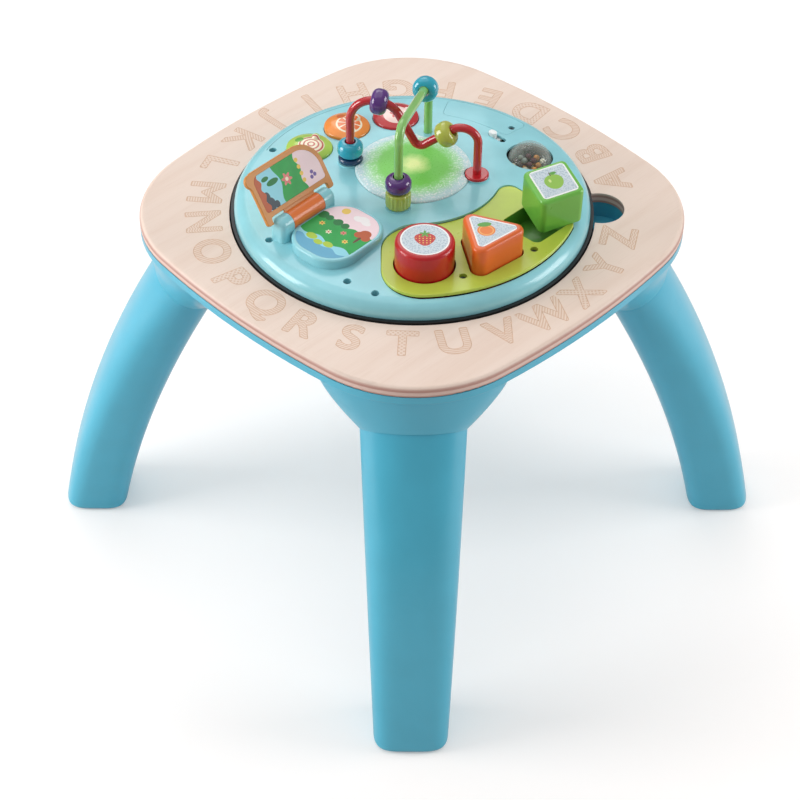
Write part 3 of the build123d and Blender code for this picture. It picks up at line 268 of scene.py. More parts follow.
@dataclass(frozen=True)
class Plastic:
    """Moulded plastic: faint clouds in the colour, a fine grain and worn patches in the gloss."""

    name: str
    colour: Colour
    roughness: float = 0.34
    cloud: float = 0.05
    cloud_size: float = 38.0
    cloud_step: Point = (0.3, 0.7)
    smear: float = 0.14
    smear_size: float = 16.0
    grain: float = 0.010
    grain_size: float = 0.6
    coat: float = 0.0
    coat_roughness: float = 0.06
    body: float = 0.0
    body_reach: Triple = (0.004, 0.004, 0.004)

    def tint(self, shade: Shade) -> Field:
        """The clouded colour.

        Args:
            shade: The shader to draw in.

        Returns:
            The colour.
        """
        cloud = shade.noise(self.cloud_size, detail=3.0)
        light, dark = scaled(self.colour, 1 + self.cloud), scaled(self.colour, 1 - self.cloud)
        return shade.mix(shade.smooth(cloud, *self.cloud_step), dark, light)

    def sockets(self, shade: Shade, tint: Field) -> dict[str, Any]:
        """The rest of the surface.

        Args:
            shade: The shader to draw in.
            tint: The colour to show.

        Returns:
            Values of the surface shader.
        """
        smear = shade.noise(self.smear_size, detail=4.0)
        return {
            "Base Color": tint,
            "Roughness": self.roughness + (smear - 0.5) * self.smear,
            "Normal": shade.bump(shade.noise(self.grain_size), self.grain),
            "Coat Weight": self.coat,
            "Coat Roughness": self.coat_roughness,
            "Subsurface Weight": self.body,
            "Subsurface Radius": self.body_reach,
        }

    def material(self) -> bpy.types.Material:
        """Makes the material."""
        shade = Shade.of_material(self.name)
        return shade.surface(self.sockets(shade, self.tint(shade)))


@dataclass(frozen=True)
class Birch:
    """Lacquered birch ply: pale pinkish veneer on top, and stripes of ply round the edge."""

    face: Colour = srgb(238, 217, 203)
    figure: Colour = srgb(229, 203, 186)
    pore: Colour = srgb(214, 183, 163)
    ply_light: Colour = srgb(226, 196, 184)
    ply_dark: Colour = srgb(192, 148, 136)
    grain: Triple = (0.7071, 0.7071, 0.0)
    edge_round: float = 3.4
    edge_fade: float = 0.4
    ply: float = 3.6
    ply_waver: float = 0.5
    ply_step: Point = (-0.35, 0.35)
    pore_depth: float = 0.02
    pore_gloss: float = 0.2
    roughness: float = 0.42
    shine: float = 0.4
    figures: Triple = (240.0, 17.0, 3.0)
    figure_step: Point = (0.42, 0.72)
    figure_share: float = 0.5
    streaks: Triple = (22.0, 0.9, 2.0)
    streak_step: Point = (0.56, 0.78)
    streak_share: float = 0.22
    wavers: Triple = (60.0, 6.0, 2.0)

    def fibres(self, shade: Shade, form: Triple) -> Field:
        """Noise drawn out along the grain.

        Args:
            shade: The shader to draw in.
            form: Length and width of a streak in millimetres, and how many finer layers it has.

        Returns:
            The noise.
        """
        length, width, detail = form
        sides = ((self.grain, length), ((-self.grain[1], self.grain[0], 0.0), width), (UP, width))
        parts = {i: shade.along(axis) / size for i, (axis, size) in enumerate(sides)}
        return shade.cloud(shade.node("ShaderNodeCombineXYZ", {}, parts), detail)

    def veneer(self, shade: Shade) -> Field:
        """The colour of the face.

        Args:
            shade: The shader to draw in.

        Returns:
            The colour.
        """
        figure = shade.smooth(self.fibres(shade, self.figures), *self.figure_step) * self.figure_share
        streak = shade.smooth(self.fibres(shade, self.streaks), *self.streak_step) * self.streak_share
        return shade.mix(streak, shade.mix(figure, self.face, self.figure), self.pore)

    def lacquer(self, shade: Shade, tint: Field) -> dict[str, Any]:
        """The lacquer over a colour.

        Args:
            shade: The shader to draw in.
            tint: The colour to show.

        Returns:
            Values of the surface shader.
        """
        streak = self.fibres(shade, self.streaks)
        return {
            "Base Color": tint,
            "Roughness": self.roughness + (streak - 0.5) * self.pore_gloss,
            "Normal": shade.bump(streak, self.pore_depth),
            "Specular IOR Level": self.shine,
        }

    def material(self) -> bpy.types.Material:
        """Makes the material.

        Returns:
            The material.
        """
        shade = Shade.of_material("birch_ply")
        height = shade.along(UP)
        waver = self.fibres(shade, self.wavers)
        layer = ((height + waver * self.ply_waver) * (TURN / (2 * self.ply))).sine()
        edge = shade.mix(shade.smooth(layer, *self.ply_step), self.ply_dark, self.ply_light)
        over = shade.smooth(height, WOOD_TOP - self.edge_round, WOOD_TOP - self.edge_fade)
        tint = shade.mix(over, edge, self.veneer(shade))
        return shade.surface(self.lacquer(shade, tint))


class Pattern(Enum):
    """Fillings of the printed letters."""

    STRIPES = "stripes"
    DOTS = "dots"
    HATCH = "hatch"
    WAVES = "waves"


@dataclass(frozen=True)
class Ink:
    """Tan ink on the veneer, in one of the letters' fillings."""

    pattern: Pattern
    wood: Birch
    colour: Colour = srgb(216, 178, 150)
    cover: Point = (0.1, 0.72)
    pitch: float = 2.6
    step: Point = (-0.2, 0.5)
    dot_scale: float = 0.55
    dot_gain: float = 1.6
    dot_gap: float = 0.3
    hatch_scale: float = 0.7
    wave_scale: float = 0.4
    wave_swing: float = 1.6

    def mask(self, shade: Shade) -> Field:
        """Where the ink lies, drawn round the ring.

        Args:
            shade: The shader to draw in.

        Returns:
            The mask.
        """
        across, up = shade.along((1, 0, 0)), shade.along((0, 1, 0))
        out = across.beside(up) * (TURN / self.pitch)
        round_ = up.bearing(across) * (LETTER_RING * TURN / self.pitch)
        if self.pattern is Pattern.STRIPES:
            wave = out.sine()
        elif self.pattern is Pattern.DOTS:
            rows, spokes = (out * self.dot_scale).sine(), (round_ * self.dot_scale).sine()
            wave = rows * spokes * self.dot_gain - self.dot_gap
        elif self.pattern is Pattern.HATCH:
            wave = (out * self.hatch_scale + round_ * self.hatch_scale).sine()
        else:
            wave = (out + (round_ * self.wave_scale).sine() * self.wave_swing).sine()
        return shade.smooth(wave, *self.step)

    def material(self) -> bpy.types.Material:
        """Makes the material.

        Returns:
            The material.
        """
        shade = Shade.of_material(f"letter_{self.pattern.value}")
        least, more = self.cover
        tint = shade.mix(self.mask(shade) * more + least, self.wood.veneer(shade), self.colour)
        return shade.surface(self.wood.lacquer(shade, tint))


@dataclass(frozen=True)
class Metal:
    """Plated steel with fine drawn lines."""

    name: str
    colour: Colour
    roughness: float = 0.3
    line_size: Triple = (4.0, 0.25, 0.25)
    line_depth: float = 0.006
    line_gloss: float = 0.3
    stain: float = 0.8
    stain_size: float = 6.0
    stain_step: Point = (0.35, 0.7)

    def material(self) -> bpy.types.Material:
        """Makes the material.

        Returns:
            The material.
        """
        shade = Shade.of_material(self.name)
        lines = shade.noise(self.line_size, detail=3.0)
        stain = shade.smooth(shade.noise(self.stain_size, detail=3.0), *self.stain_step)
        return shade.surface(
            {
                "Base Color": shade.mix(stain, scaled(self.colour, self.stain), self.colour),
                "Metallic": 1.0,
                "Roughness": self.roughness + (lines - 0.5) * self.line_gloss,
                "Normal": shade.bump(lines, self.line_depth),
            }
        )


@dataclass(frozen=True)
class GlowLens:
    """Frosted dome lit green from below by the lamp under it, with white flecks near its rim; the green pool
    of that light is also painted into its base colour as painted light.
    """

    centre: Point = (1.0, 29.0)
    radius: float = 58.0
    frost: Colour = srgb(196, 226, 230)
    fleck: Colour = srgb(248, 252, 252)
    # Colours of the lamp's green pool: the emission uses them as real glow, and the base colour uses them as
    # painted light.
    heart: Colour = srgb(224, 240, 156)
    lit: Colour = srgb(112, 196, 78)
    fade: Colour = srgb(150, 208, 146)
    places: tuple[float, ...] = (0.0, 0.08, 0.32, 0.58, 0.74, 0.9)
    strength: float = 0.16
    cloud_size: float = 8.0
    waver: float = 0.16
    roughness: float = 0.42
    fleck_gloss: float = 0.2
    fleck_size: float = 1.7
    fleck_step: Point = (0.5, 0.68)
    rim_step: Point = (0.5, 0.9)
    frost_size: float = 0.9
    frost_depth: float = 0.05

    def material(self) -> bpy.types.Material:
        """Makes the material.

        Returns:
            The material.
        """
        shade = Shade.of_material("frosted_lens")
        out = shade.away(self.centre) / self.radius
        reach = out + (shade.noise(self.cloud_size, detail=3.0) - 0.5) * self.waver
        # tint is the lamp's green pool painted into the base colour as painted light; glow is the real
        # emission of the lamp.
        inks = (self.heart, self.heart, self.lit, self.lit, self.fade)
        tint, glow = (
            shade.node("ShaderNodeValToRGB", {"stops": list(zip(self.places, (*inks, last)))}, {0: reach})
            for last in (self.frost, BLACK)
        )
        speck = shade.smooth(shade.noise(self.fleck_size), *self.fleck_step)
        rim = shade.smooth(out, *self.rim_step)
        return shade.surface(
            {
                "Base Color": shade.mix(speck * rim, tint, self.fleck),
                "Roughness": self.roughness - speck * self.fleck_gloss,
                "Normal": shade.bump(shade.noise(self.frost_size), self.frost_depth),
                "Emission Color": glow,
                "Emission Strength": self.strength,
            }
        )


@dataclass(frozen=True)
class ClearShell:
    """Clear moulded plastic, thin and slightly smoky."""

    colour: Colour = srgb(206, 214, 206)
    veil: float = 0.06
    veil_change: float = 0.06
    roughness: float = 0.08
    scuff: float = 0.9
    scuff_gloss: float = 0.08
    scuff_size: float = 5.0
    rim_blend: float = 0.35
    rim: float = 0.4
    coat: float = 0.6

    def material(self) -> bpy.types.Material:
        """Makes the material.

        Returns:
            The material.
        """
        shade = Shade.of_material("clear_shell")
        scuff = shade.noise(self.scuff_size, detail=4.0)
        edge = shade.node("ShaderNodeLayerWeight", {}, {"Blend": self.rim_blend}, "Facing")
        return shade.surface(
            {
                "Base Color": shade.mix(scuff, scaled(self.colour, self.scuff), self.colour),
                "Roughness": self.roughness + scuff * self.scuff_gloss,
                "Alpha": self.veil + (scuff - 0.5) * self.veil_change + edge * self.rim,
                "Coat Weight": self.coat,
            }
        )


@dataclass(frozen=True)
class CircuitBoard:
    """Green solder mask with lighter tracks under it."""

    mask: Colour = srgb(28, 98, 62)
    track: Colour = srgb(52, 138, 86)
    heading: Triple = (0.8, 0.6, 0.0)
    pitch: float = 2.6
    bend_size: float = 14.0
    bend: float = 3.0
    patch_size: float = 9.0
    patch_step: Point = (0.45, 0.5)
    track_step: Point = (0.45, 0.6)
    track_gloss: float = 0.12
    roughness: float = 0.42
    height: float = 0.03

    def material(self) -> bpy.types.Material:
        """Makes the material.

        Returns:
            The material.
        """
        shade = Shade.of_material("circuit_board")
        bend = shade.noise(self.bend_size, detail=1.0) * self.bend
        lines = (shade.along(self.heading) * (TURN / self.pitch) + bend).sine()
        patches = shade.smooth(shade.noise(self.patch_size), *self.patch_step)
        tracks = shade.smooth(lines, *self.track_step) & patches
        return shade.surface(
            {
                "Base Color": shade.mix(tracks, self.mask, self.track),
                "Roughness": self.roughness - tracks * self.track_gloss,
                "Normal": shade.bump(tracks, self.height),
            }
        )


@dataclass(frozen=True)
class CellSleeve:
    """Printed sleeve of a cell: one copper band on a dark wrap."""

    wrap: Colour = srgb(52, 56, 62)
    band: Colour = srgb(196, 132, 78)
    axis: Triple = (-0.866, 0.5, 0.0)
    middle: Triple = (74.0, 129.0, 0.0)
    band_start: float = 8.0
    band_edge: float = 0.4
    band_metal: float = 0.6
    roughness: float = 0.3
    smear: float = 0.1
    smear_size: float = 3.0

    def material(self) -> bpy.types.Material:
        """Makes the material.

        Returns:
            The material.
        """
        shade = Shade.of_material("cell_sleeve")
        reach = shade.along(self.axis, self.middle)
        band = shade.smooth(reach, self.band_start, self.band_start + self.band_edge)
        return shade.surface(
            {
                "Base Color": shade.mix(band, self.wrap, self.band),
                "Roughness": self.roughness + shade.noise(self.smear_size) * self.smear,
                "Metallic": band * self.band_metal,
            }
        )


@dataclass(frozen=True)
class SpeakerCone:
    """Dark paper cone with pressed rings."""

    centre: Point = (-78.0, -62.0)
    paper: Colour = srgb(44, 44, 46)
    ring: Colour = srgb(84, 84, 86)
    pitch: float = 4.5
    ring_step: Point = (0.2, 0.9)
    roughness: float = 0.7
    fibre_gloss: float = 0.2
    fibre_size: float = 0.7
    height: float = 0.4

    def material(self) -> bpy.types.Material:
        """Makes the material.

        Returns:
            The material.
        """
        shade = Shade.of_material("speaker_cone")
        ripple = (shade.away(self.centre) * (TURN / self.pitch)).sine()
        return shade.surface(
            {
                "Base Color": shade.mix(shade.smooth(ripple, *self.ring_step), self.paper, self.ring),
                "Roughness": self.roughness + shade.noise(self.fibre_size) * self.fibre_gloss,
                "Normal": shade.bump(ripple * 0.5 + 0.5, self.height),
            }
        )


class Drawing:
    """Flat inks laid one over another in a plane of a piece."""

    FINE = 0.12
    CLEAR = 0.15
    SOFT = 0.2

    def __init__(
        self, shade: Shade, origin: Sequence[float], across: Sequence[float], up: Sequence[float], paper: Any
    ) -> None:
        """Sets the plane.

        Args:
            shade: The shader to draw in.
            origin: The plane's middle, in millimetres.
            across: Unit direction to the right.
            up: Unit direction to the top.
            paper: The colour that the inks lie on.
        """
        self.shade = shade
        self.x = shade.along(across, origin)
        self.y = shade.along(up, origin)
        self.ink = paper

    def within(self, reach: Field, limit: float, edge: float) -> Field:
        """Mask of all that reaches less far than a limit, with a soft edge."""
        return 1 - self.shade.smooth(reach, limit - edge, limit + edge)

    def disc(self, x: float, y: float, radius: float, stretch: float = 1.0) -> Field:
        """Mask of a round spot, or of an oval stretched in width."""
        return self.within(((self.x - x) / stretch).beside(self.y - y), radius, self.CLEAR)

    def hoop(self, x: float, y: float, radius: float, line: float) -> Field:
        """Mask of a ring of one line width."""
        return self.within(abs((self.x - x).beside(self.y - y) - radius), line / 2, self.FINE)

    def blossom(self, x: float, y: float, radius: float, petals: int, depth: float = 0.28) -> Field:
        """A flower or a star of leaves.

        Args:
            x: Place across.
            y: Place up.
            radius: Middle radius.
            petals: How many petals.
            depth: How far they reach out and in, as a share.

        Returns:
            The mask.
        """
        left, rise = self.x - x, self.y - y
        edge = (rise.bearing(left) * petals).sine() * (depth * radius) + radius
        return self.shade.smooth(edge - left.beside(rise), -self.CLEAR, self.CLEAR)

    def below(self, level: float, swing: float, pitch: float, shift: float = 0.0) -> Field:
        """Mask of all under a wavy line, whose waves start at a shift in radians."""
        line = (self.x * (TURN / pitch) + shift).sine() * swing + level
        return self.shade.smooth(line - self.y, -self.SOFT, self.SOFT)

    def berry(self, x: float, y: float, radius: float, taper: float) -> Field:
        """A fruit that is wider at its top or its bottom.

        Args:
            x: Place across.
            y: Place up.
            radius: Half its height.
            taper: How much wider it gets for each millimetre up.

        Returns:
            The mask.
        """
        rise = self.y - y
        out = ((self.x - x) / (1 + rise * taper)).beside(rise)
        return self.within(out, radius, self.SOFT)

    def dots(self, pitch: float, share: float) -> Field:
        """Mask of dots set like bricks, the smaller the nearer the share is to 1."""
        wave = (self.x * (math.pi / pitch)).sine() * (self.y * (math.pi / pitch)).sine()
        return self.shade.smooth(abs(wave), share, share + self.CLEAR)

    def discs(self, places: Sequence[Triple], colour: Colour, stretch: float = 1.0) -> None:
        """Paints spots, each given by its place across, its place up and its radius."""
        for x, y, radius in places:
            self.paint(self.disc(x, y, radius, stretch), colour)

    def paint(self, mask: Field, colour: Any) -> None:
        """Lays an ink where the mask is."""
        self.ink = self.shade.mix(mask, self.ink, colour)


class Inks:
    """The inks that the printed pieces share."""

    MEADOW = srgb(36, 166, 76)
    HEDGE = srgb(20, 122, 58)
    LIME = srgb(178, 206, 70)
    SKY = srgb(250, 224, 230)
    CLOUD = srgb(250, 246, 246)
    WATER = srgb(150, 220, 236)
    DEEP = srgb(104, 176, 208)
    PINK = srgb(228, 132, 128)
    CREAM = srgb(246, 236, 206)
    SUN = srgb(244, 206, 96)
    RUST = srgb(190, 92, 52)
    BARK = srgb(104, 66, 48)
    PLUM = srgb(120, 96, 168)
    STONE = srgb(62, 74, 84)
    RED = srgb(196, 42, 44)
    ORANGE = srgb(236, 128, 46)
    LEAF = srgb(88, 160, 60)
    PALE = srgb(205, 217, 224)
    FLECK = srgb(172, 190, 202)
    WHITE = srgb(248, 248, 246)


class Mould:
    """Ways to make meshes, in millimetres."""

    @staticmethod
    def mesh(name: str, shape: bmesh.types.BMesh, smooth: bool = True) -> bpy.types.Mesh:
        """Ends a mesh.

        Args:
            name: The mesh's name.
            shape: The shape in millimetres.
            smooth: Whether its faces shade as one.

        Returns:
            The mesh in metres.
        """
        bmesh.ops.recalc_face_normals(shape, faces=shape.faces)
        made = bpy.data.meshes.new(name)
        shape.to_mesh(made)
        shape.free()
        made.transform(Matrix.Scale(MM, 4))
        made.polygons.foreach_set("use_smooth", [smooth] * len(made.polygons))
        return made

    @staticmethod
    def circle(radius: float, steps: int = 96) -> list[Point]:
        """Points of a round outline, counter-clockwise."""
        turns = (TURN * i / steps for i in range(steps))
        return [(radius * math.cos(turn), radius * math.sin(turn)) for turn in turns]

    @staticmethod
    def rounded(corners: int, reach: float, radius: float, start: float, steps: int = 12) -> list[Point]:
        """A regular outline with rounded corners.

        Args:
            corners: How many corners.
            reach: From the middle to a sharp corner.
            radius: Radius of the corners.
            start: Bearing of the first corner, in degrees.
            steps: Points on each corner.

        Returns:
            Points, counter-clockwise.
        """
        half = math.pi / corners
        hub = reach - radius / math.cos(half)
        points = []
        for corner in range(corners):
            aim = math.radians(start) + TURN * corner / corners
            x, y = hub * math.cos(aim), hub * math.sin(aim)
            for step in range(steps + 1):
                turn = aim + half * (2 * step / steps - 1)
                points.append((x + radius * math.cos(turn), y + radius * math.sin(turn)))
        return points

    @staticmethod
    def plate(outline: Sequence[Point], place: Matrix, thickness: float, bevel: float) -> bmesh.types.BMesh:
        """A thin plate with a soft upper edge, for a convex outline.

        Args:
            outline: Points of the outline.
            place: Frame of its lower face.
            thickness: Its height.
            bevel: Width of the soft edge.

        Returns:
            The shape.
        """
        shape = bmesh.new()
        rings = []
        for inset, level in ((0.0, 0.0), (0.0, thickness - bevel), (bevel, thickness)):
            points = (Vector(p) * (1 - inset / Vector(p).length) for p in outline)
            rings.append([shape.verts.new(place @ Vector((*p, level))) for p in points])
        Mould.loft(shape, rings)
        return shape

    @staticmethod
    def bridge(shape: bmesh.types.BMesh, rings: Sequence[Sequence[bmesh.types.BMVert]]) -> None:
        """Joins closed rings of points, each to the next.

        Args:
            shape: The shape that holds the points.
            rings: Rings with the same count of points.
        """
        for low, high in zip(rings, rings[1:]):
            for i in range(len(low)):
                j = (i + 1) % len(low)
                shape.faces.new((low[i], low[j], high[j], high[i]))

    @staticmethod
    def loft(shape: bmesh.types.BMesh, rings: Sequence[Sequence[bmesh.types.BMVert]]) -> None:
        """Joins rings of points, each to the next, and closes both ends.

        Args:
            shape: The shape that holds the points.
            rings: Rings with the same count of points.
        """
        shape.faces.new(list(reversed(rings[0])))
        shape.faces.new(rings[-1])
        Mould.bridge(shape, rings)

    @staticmethod
    def bead_line(points: Sequence[Vector], radius: float, sides: int = 8) -> bmesh.types.BMesh:
        """A round line through points.

        Args:
            points: The points.
            radius: Radius of the line.
            sides: Points round the line.

        Returns:
            The shape.
        """
        shape = bmesh.new()
        rings = []
        last = len(points) - 1
        for i, point in enumerate(points):
            heading = (points[min(i + 1, last)] - points[max(i - 1, 0)]).normalized()
            side = heading.cross(Vector(UP)).normalized()
            rise = side.cross(heading)
            spokes = (side * x + rise * y for x, y in Mould.circle(radius, sides))
            rings.append([shape.verts.new(point + spoke) for spoke in spokes])
        Mould.loft(shape, rings)
        return shape


class Assembly:
    """What every sub-assembly does: it dresses solids and adds pieces."""

    @staticmethod
    def dress(material: bpy.types.Material, *nodes: str) -> None:
        """Gives solids a finish.

        Args:
            material: The finish.
            nodes: Names of the solids.
        """
        for name in nodes:
            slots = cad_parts[name].data.materials
            slots.clear()
            slots.append(material)
            LOG.info("dressed %s in %s", name, material.name)

    @staticmethod
    def add(
        name: str, mesh: bpy.types.Mesh, material: bpy.types.Material, body: str, slot: str
    ) -> bpy.types.Object:
        """Adds a piece.

        Args:
            name: The piece's name.
            mesh: Its mesh.
            material: Its finish.
            body: The body that it rides on.
            slot: The record's material slot; not used.

        Returns:
            The piece.
        """
        mesh.materials.append(material)
        piece = bpy.data.objects.new(name, mesh)
        bpy.context.scene.collection.objects.link(piece)
        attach(piece, body)
        LOG.info("added %s on %s", name, body)
        return piece


@dataclass
class Capital:
    """One capital of the built-in type, made bolder and laid out as thin plates."""

    CURVE_STEPS = 8

    letter: str
    cap: float
    weight: float
    cell: float = 0.45
    margin: float = 0.75
    straight: float = math.radians(3)
    scale: float = field(init=False)

    def __post_init__(self) -> None:
        """Finds what a unit of the type measures, from the height of a plain stem."""
        stem = self.wire("I")[:, :, 1]
        self.scale = self.cap / (stem.max() - stem.min())

    @staticmethod
    def wire(letter: str) -> np.ndarray:
        """Straight pieces of a capital's outline.

        Args:
            letter: The capital.

        Returns:
            Both ends of each piece, in the type's own units, about the capital's middle.
        """
        curve = bpy.data.curves.new("capital", "FONT")
        curve.body = letter
        curve.resolution_u = Capital.CURVE_STEPS
        curve.fill_mode = "NONE"
        holder = bpy.data.objects.new("capital", curve)
        bpy.context.scene.collection.objects.link(holder)
        ready = holder.evaluated_get(bpy.context.evaluated_depsgraph_get())
        mesh = bpy.data.meshes.new_from_object(ready)
        points = np.array([vertex.co[:2] for vertex in mesh.vertices])
        points -= (points.max(axis=0) + points.min(axis=0)) / 2
        ends = points[np.array([edge.vertices[:] for edge in mesh.edges])]
        bpy.data.objects.remove(holder)
        bpy.data.curves.remove(curve)
        bpy.data.meshes.remove(mesh)
        return ends

    def outside(self, spots: np.ndarray) -> np.ndarray:
        """How far points lie outside the bolder capital.

        Args:
            spots: The points, in millimetres.

        Returns:
            The distances, below 0 inside.
        """
        ends = self.wire(self.letter) * self.scale
        near, far = ends[:, 0], ends[:, 1]
        run = far - near
        step = spots[:, None, :] - near[None, :, :]
        share = np.clip((step * run).sum(axis=2) / (run * run).sum(axis=1), 0, 1)
        gaps = np.linalg.norm(step - share[:, :, None] * run, axis=2).min(axis=1)
        level = spots[:, None, 1]
        spans = (near[:, 1] > level) != (far[:, 1] > level)
        rise = np.where(spans, run[:, 1], 1.0)
        meets = near[:, 0] + (level - near[:, 1]) / rise * run[:, 0]
        crossings = (spans & (meets > spots[:, None, 0])).sum(axis=1)
        return np.where(crossings % 2, -gaps, gaps) - self.weight

    def plate(self, low: float, high: float, height: float) -> bpy.types.Mesh:
        """A closed plate over the stretch between two distances from the outline.

        Args:
            low: The lower distance.
            high: The higher distance.
            height: Thickness of the plate.

        Returns:
            The mesh, in millimetres.
        """
        half = self.cap * self.margin
        count = round(2 * half / self.cell)
        shape = bmesh.new()
        bmesh.ops.create_grid(shape, x_segments=count, y_segments=count, size=half)
        spots = np.array([vertex.co[:2] for vertex in shape.verts])
        for vertex, depth in zip(shape.verts, self.outside(spots)):
            vertex.co.z = depth
        for level, side in ((low, -1), (high, 1)):
            whole = shape.verts[:] + shape.edges[:] + shape.faces[:]
            cut = {"plane_co": (0, 0, level), "plane_no": (0, 0, side), "clear_outer": True}
            bmesh.ops.bisect_plane(shape, geom=whole, **cut)
        for vertex in shape.verts:
            vertex.co.z = 0.0
        bmesh.ops.dissolve_limit(shape, angle_limit=self.straight, verts=shape.verts, edges=shape.edges)
        bmesh.ops.recalc_face_normals(shape, faces=shape.faces)
        bmesh.ops.solidify(shape, geom=shape.faces[:], thickness=height)
        mesh = bpy.data.meshes.new("capital")
        shape.to_mesh(mesh)
        shape.free()
        return mesh


@dataclass
class Table(Assembly):
    """Wooden top with its printed letters, tray and legs."""

    wood: Birch = field(default_factory=Birch)
    blue: Plastic = Plastic(
        "tray_blue", srgb(78, 182, 210), roughness=0.3, cloud=0.02, smear=0.04, grain=0.006, coat=0.25
    )
    screw: Metal = Metal("zinc_screw", (0.55, 0.56, 0.58))
    line_ink: Plastic = Plastic(
        "letter_line", srgb(212, 172, 142), roughness=0.45, cloud=0.12, cloud_size=5.0
    )
    cap: float = 32.5
    first: float = 13.3
    last: float = 346.9
    weight: float = 1.7
    line: float = 0.7
    ink_height: float = 0.06
    pattern_step: int = 3

    def place(self, index: int) -> Matrix:
        """Frame of a letter, with its foot to the outside.

        Args:
            index: Its place in the alphabet.

        Returns:
            The frame.
        """
        share = index / (len(string.ascii_uppercase) - 1)
        turn = math.radians(self.first + share * (self.last - self.first))
        out = Vector((math.cos(turn), math.sin(turn), 0.0))
        side = Vector((-out.y, out.x, 0.0))
        spot = Matrix((side, -out, UP)).transposed().to_4x4()
        spot.translation = out * LETTER_RING + Vector(UP) * (WOOD_TOP + self.ink_height)
        return spot

    def letters(self) -> None:
        """Prints the alphabet round the ring, as thin raised ink."""
        patterns = list(Pattern)
        fills = {pattern: bmesh.new() for pattern in patterns}
        lines = bmesh.new()
        for index, letter in enumerate(string.ascii_uppercase):
            capital = Capital(letter, self.cap, self.weight)
            fill = fills[patterns[index * self.pattern_step % len(patterns)]]
            for shape, low, high in ((fill, -self.cap, -self.line), (lines, -self.line, 0.0)):
                plate = capital.plate(low, high, self.ink_height)
                plate.transform(self.place(index))
                shape.from_mesh(plate)
                bpy.data.meshes.remove(plate)
        prints = [(pattern.value, shape, Ink(pattern, self.wood)) for pattern, shape in fills.items()]
        prints.append(("outline", lines, self.line_ink))
        for name, shape, ink in prints:
            mesh = Mould.mesh("letters", shape, False)
            self.add(f"letters_{name}", mesh, ink.material(), "table", "wood")

    def build(self) -> None:
        """Dresses the table and prints its letters."""
        self.dress(self.wood.material(), "table_top")
        self.dress(self.blue.material(), "table_tray", "leg_front", "leg_right", "leg_back", "leg_left")
        self.dress(self.screw.material(), "leg_screws", "top_screws")
        self.letters()


@dataclass
class Panel(Assembly):
    """Shell and tub of the play panel, with its seams, lamp and inner works."""

    shell: Plastic = Plastic("shell_aqua", srgb(146, 212, 222), roughness=0.24, grain=0.006, coat=0.3)
    tub: Plastic = Plastic("tub_black", srgb(20, 23, 26), roughness=0.42, cloud=0.2)
    cradle: Plastic = Plastic("cradle_grey", srgb(138, 152, 144), roughness=0.4)
    # A darker copy of the shell's aqua, laid as painted shadow in the seam's groove.
    seam: Plastic = Plastic("seam_shadow", srgb(70, 146, 158), roughness=0.5, cloud=0.15)
    knob: Plastic = Plastic("knob_white", srgb(240, 244, 244), roughness=0.3)
    mat: Plastic = Plastic("switch_mat", srgb(196, 198, 198), roughness=0.6, grain=0.03)
    screw: Metal = Metal("panel_screw", (0.20, 0.22, 0.24), 0.4)
    contact: Metal = Metal("plated_contact", (0.72, 0.72, 0.70), 0.22)
    seam_radius: float = 0.45
    back_seam: Triple = (162.0, 87.0, 155.0)
    seam_steps: int = 60
    seam_sink: float = 0.3
    look_from: float = 600.0

    def over(self, x: float, y: float, tree: BVHTree) -> Vector:
        """The highest point over a place in plan, in millimetres."""
        return tree.ray_cast(Vector((x, y, self.look_from)), -Vector(UP))[0]

    def seams(self) -> None:
        """Lays a thin dark line along the back seam of the dome, as painted shadow in the seam's groove."""
        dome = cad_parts["panel_shell"].data
        faces = [tuple(face.vertices) for face in dome.polygons]
        tree = BVHTree.FromPolygons([vertex.co / MM for vertex in dome.vertices], faces)
        radius, start, end = self.back_seam
        sink = Vector(UP) * self.seam_sink
        points = []
        for i in range(self.seam_steps + 1):
            turn = math.radians(start + (end - start) * i / self.seam_steps)
            points.append(self.over(radius * math.cos(turn), radius * math.sin(turn), tree) - sink)
        # This dark line is painted shadow for the seam's groove, laid a little into the dome.
        line = Mould.bead_line(points, self.seam_radius)
        self.add("seam_back_painted_shadow", Mould.mesh("seam_back_painted_shadow", line), self.seam.material(), "panel", "shell_blue")

    def build(self) -> None:
        """Dresses the shell, the tub and what is inside."""
        finishes = (
            (self.shell, ("panel_shell", "battery_cover")),
            (self.tub, ("panel_base", "battery_box", "slide_switch")),
            (self.cradle, ("ball_cradle",)),
            (self.screw, ("panel_screws", "tray_screws", "cover_screw", "maze_nuts", "page_pin")),
            (GlowLens(), ("light_lens",)),
            (CircuitBoard(), ("led_board", "main_board")),
            (self.mat, ("button_mat",)),
            (SpeakerCone(), ("speaker",)),
            (CellSleeve(), ("battery_cells",)),
            (self.contact, ("battery_contacts",)),
            (self.knob, ("mode_slider",)),
        )
        for finish, nodes in finishes:
            self.dress(finish.material(), *nodes)
        self.seams()


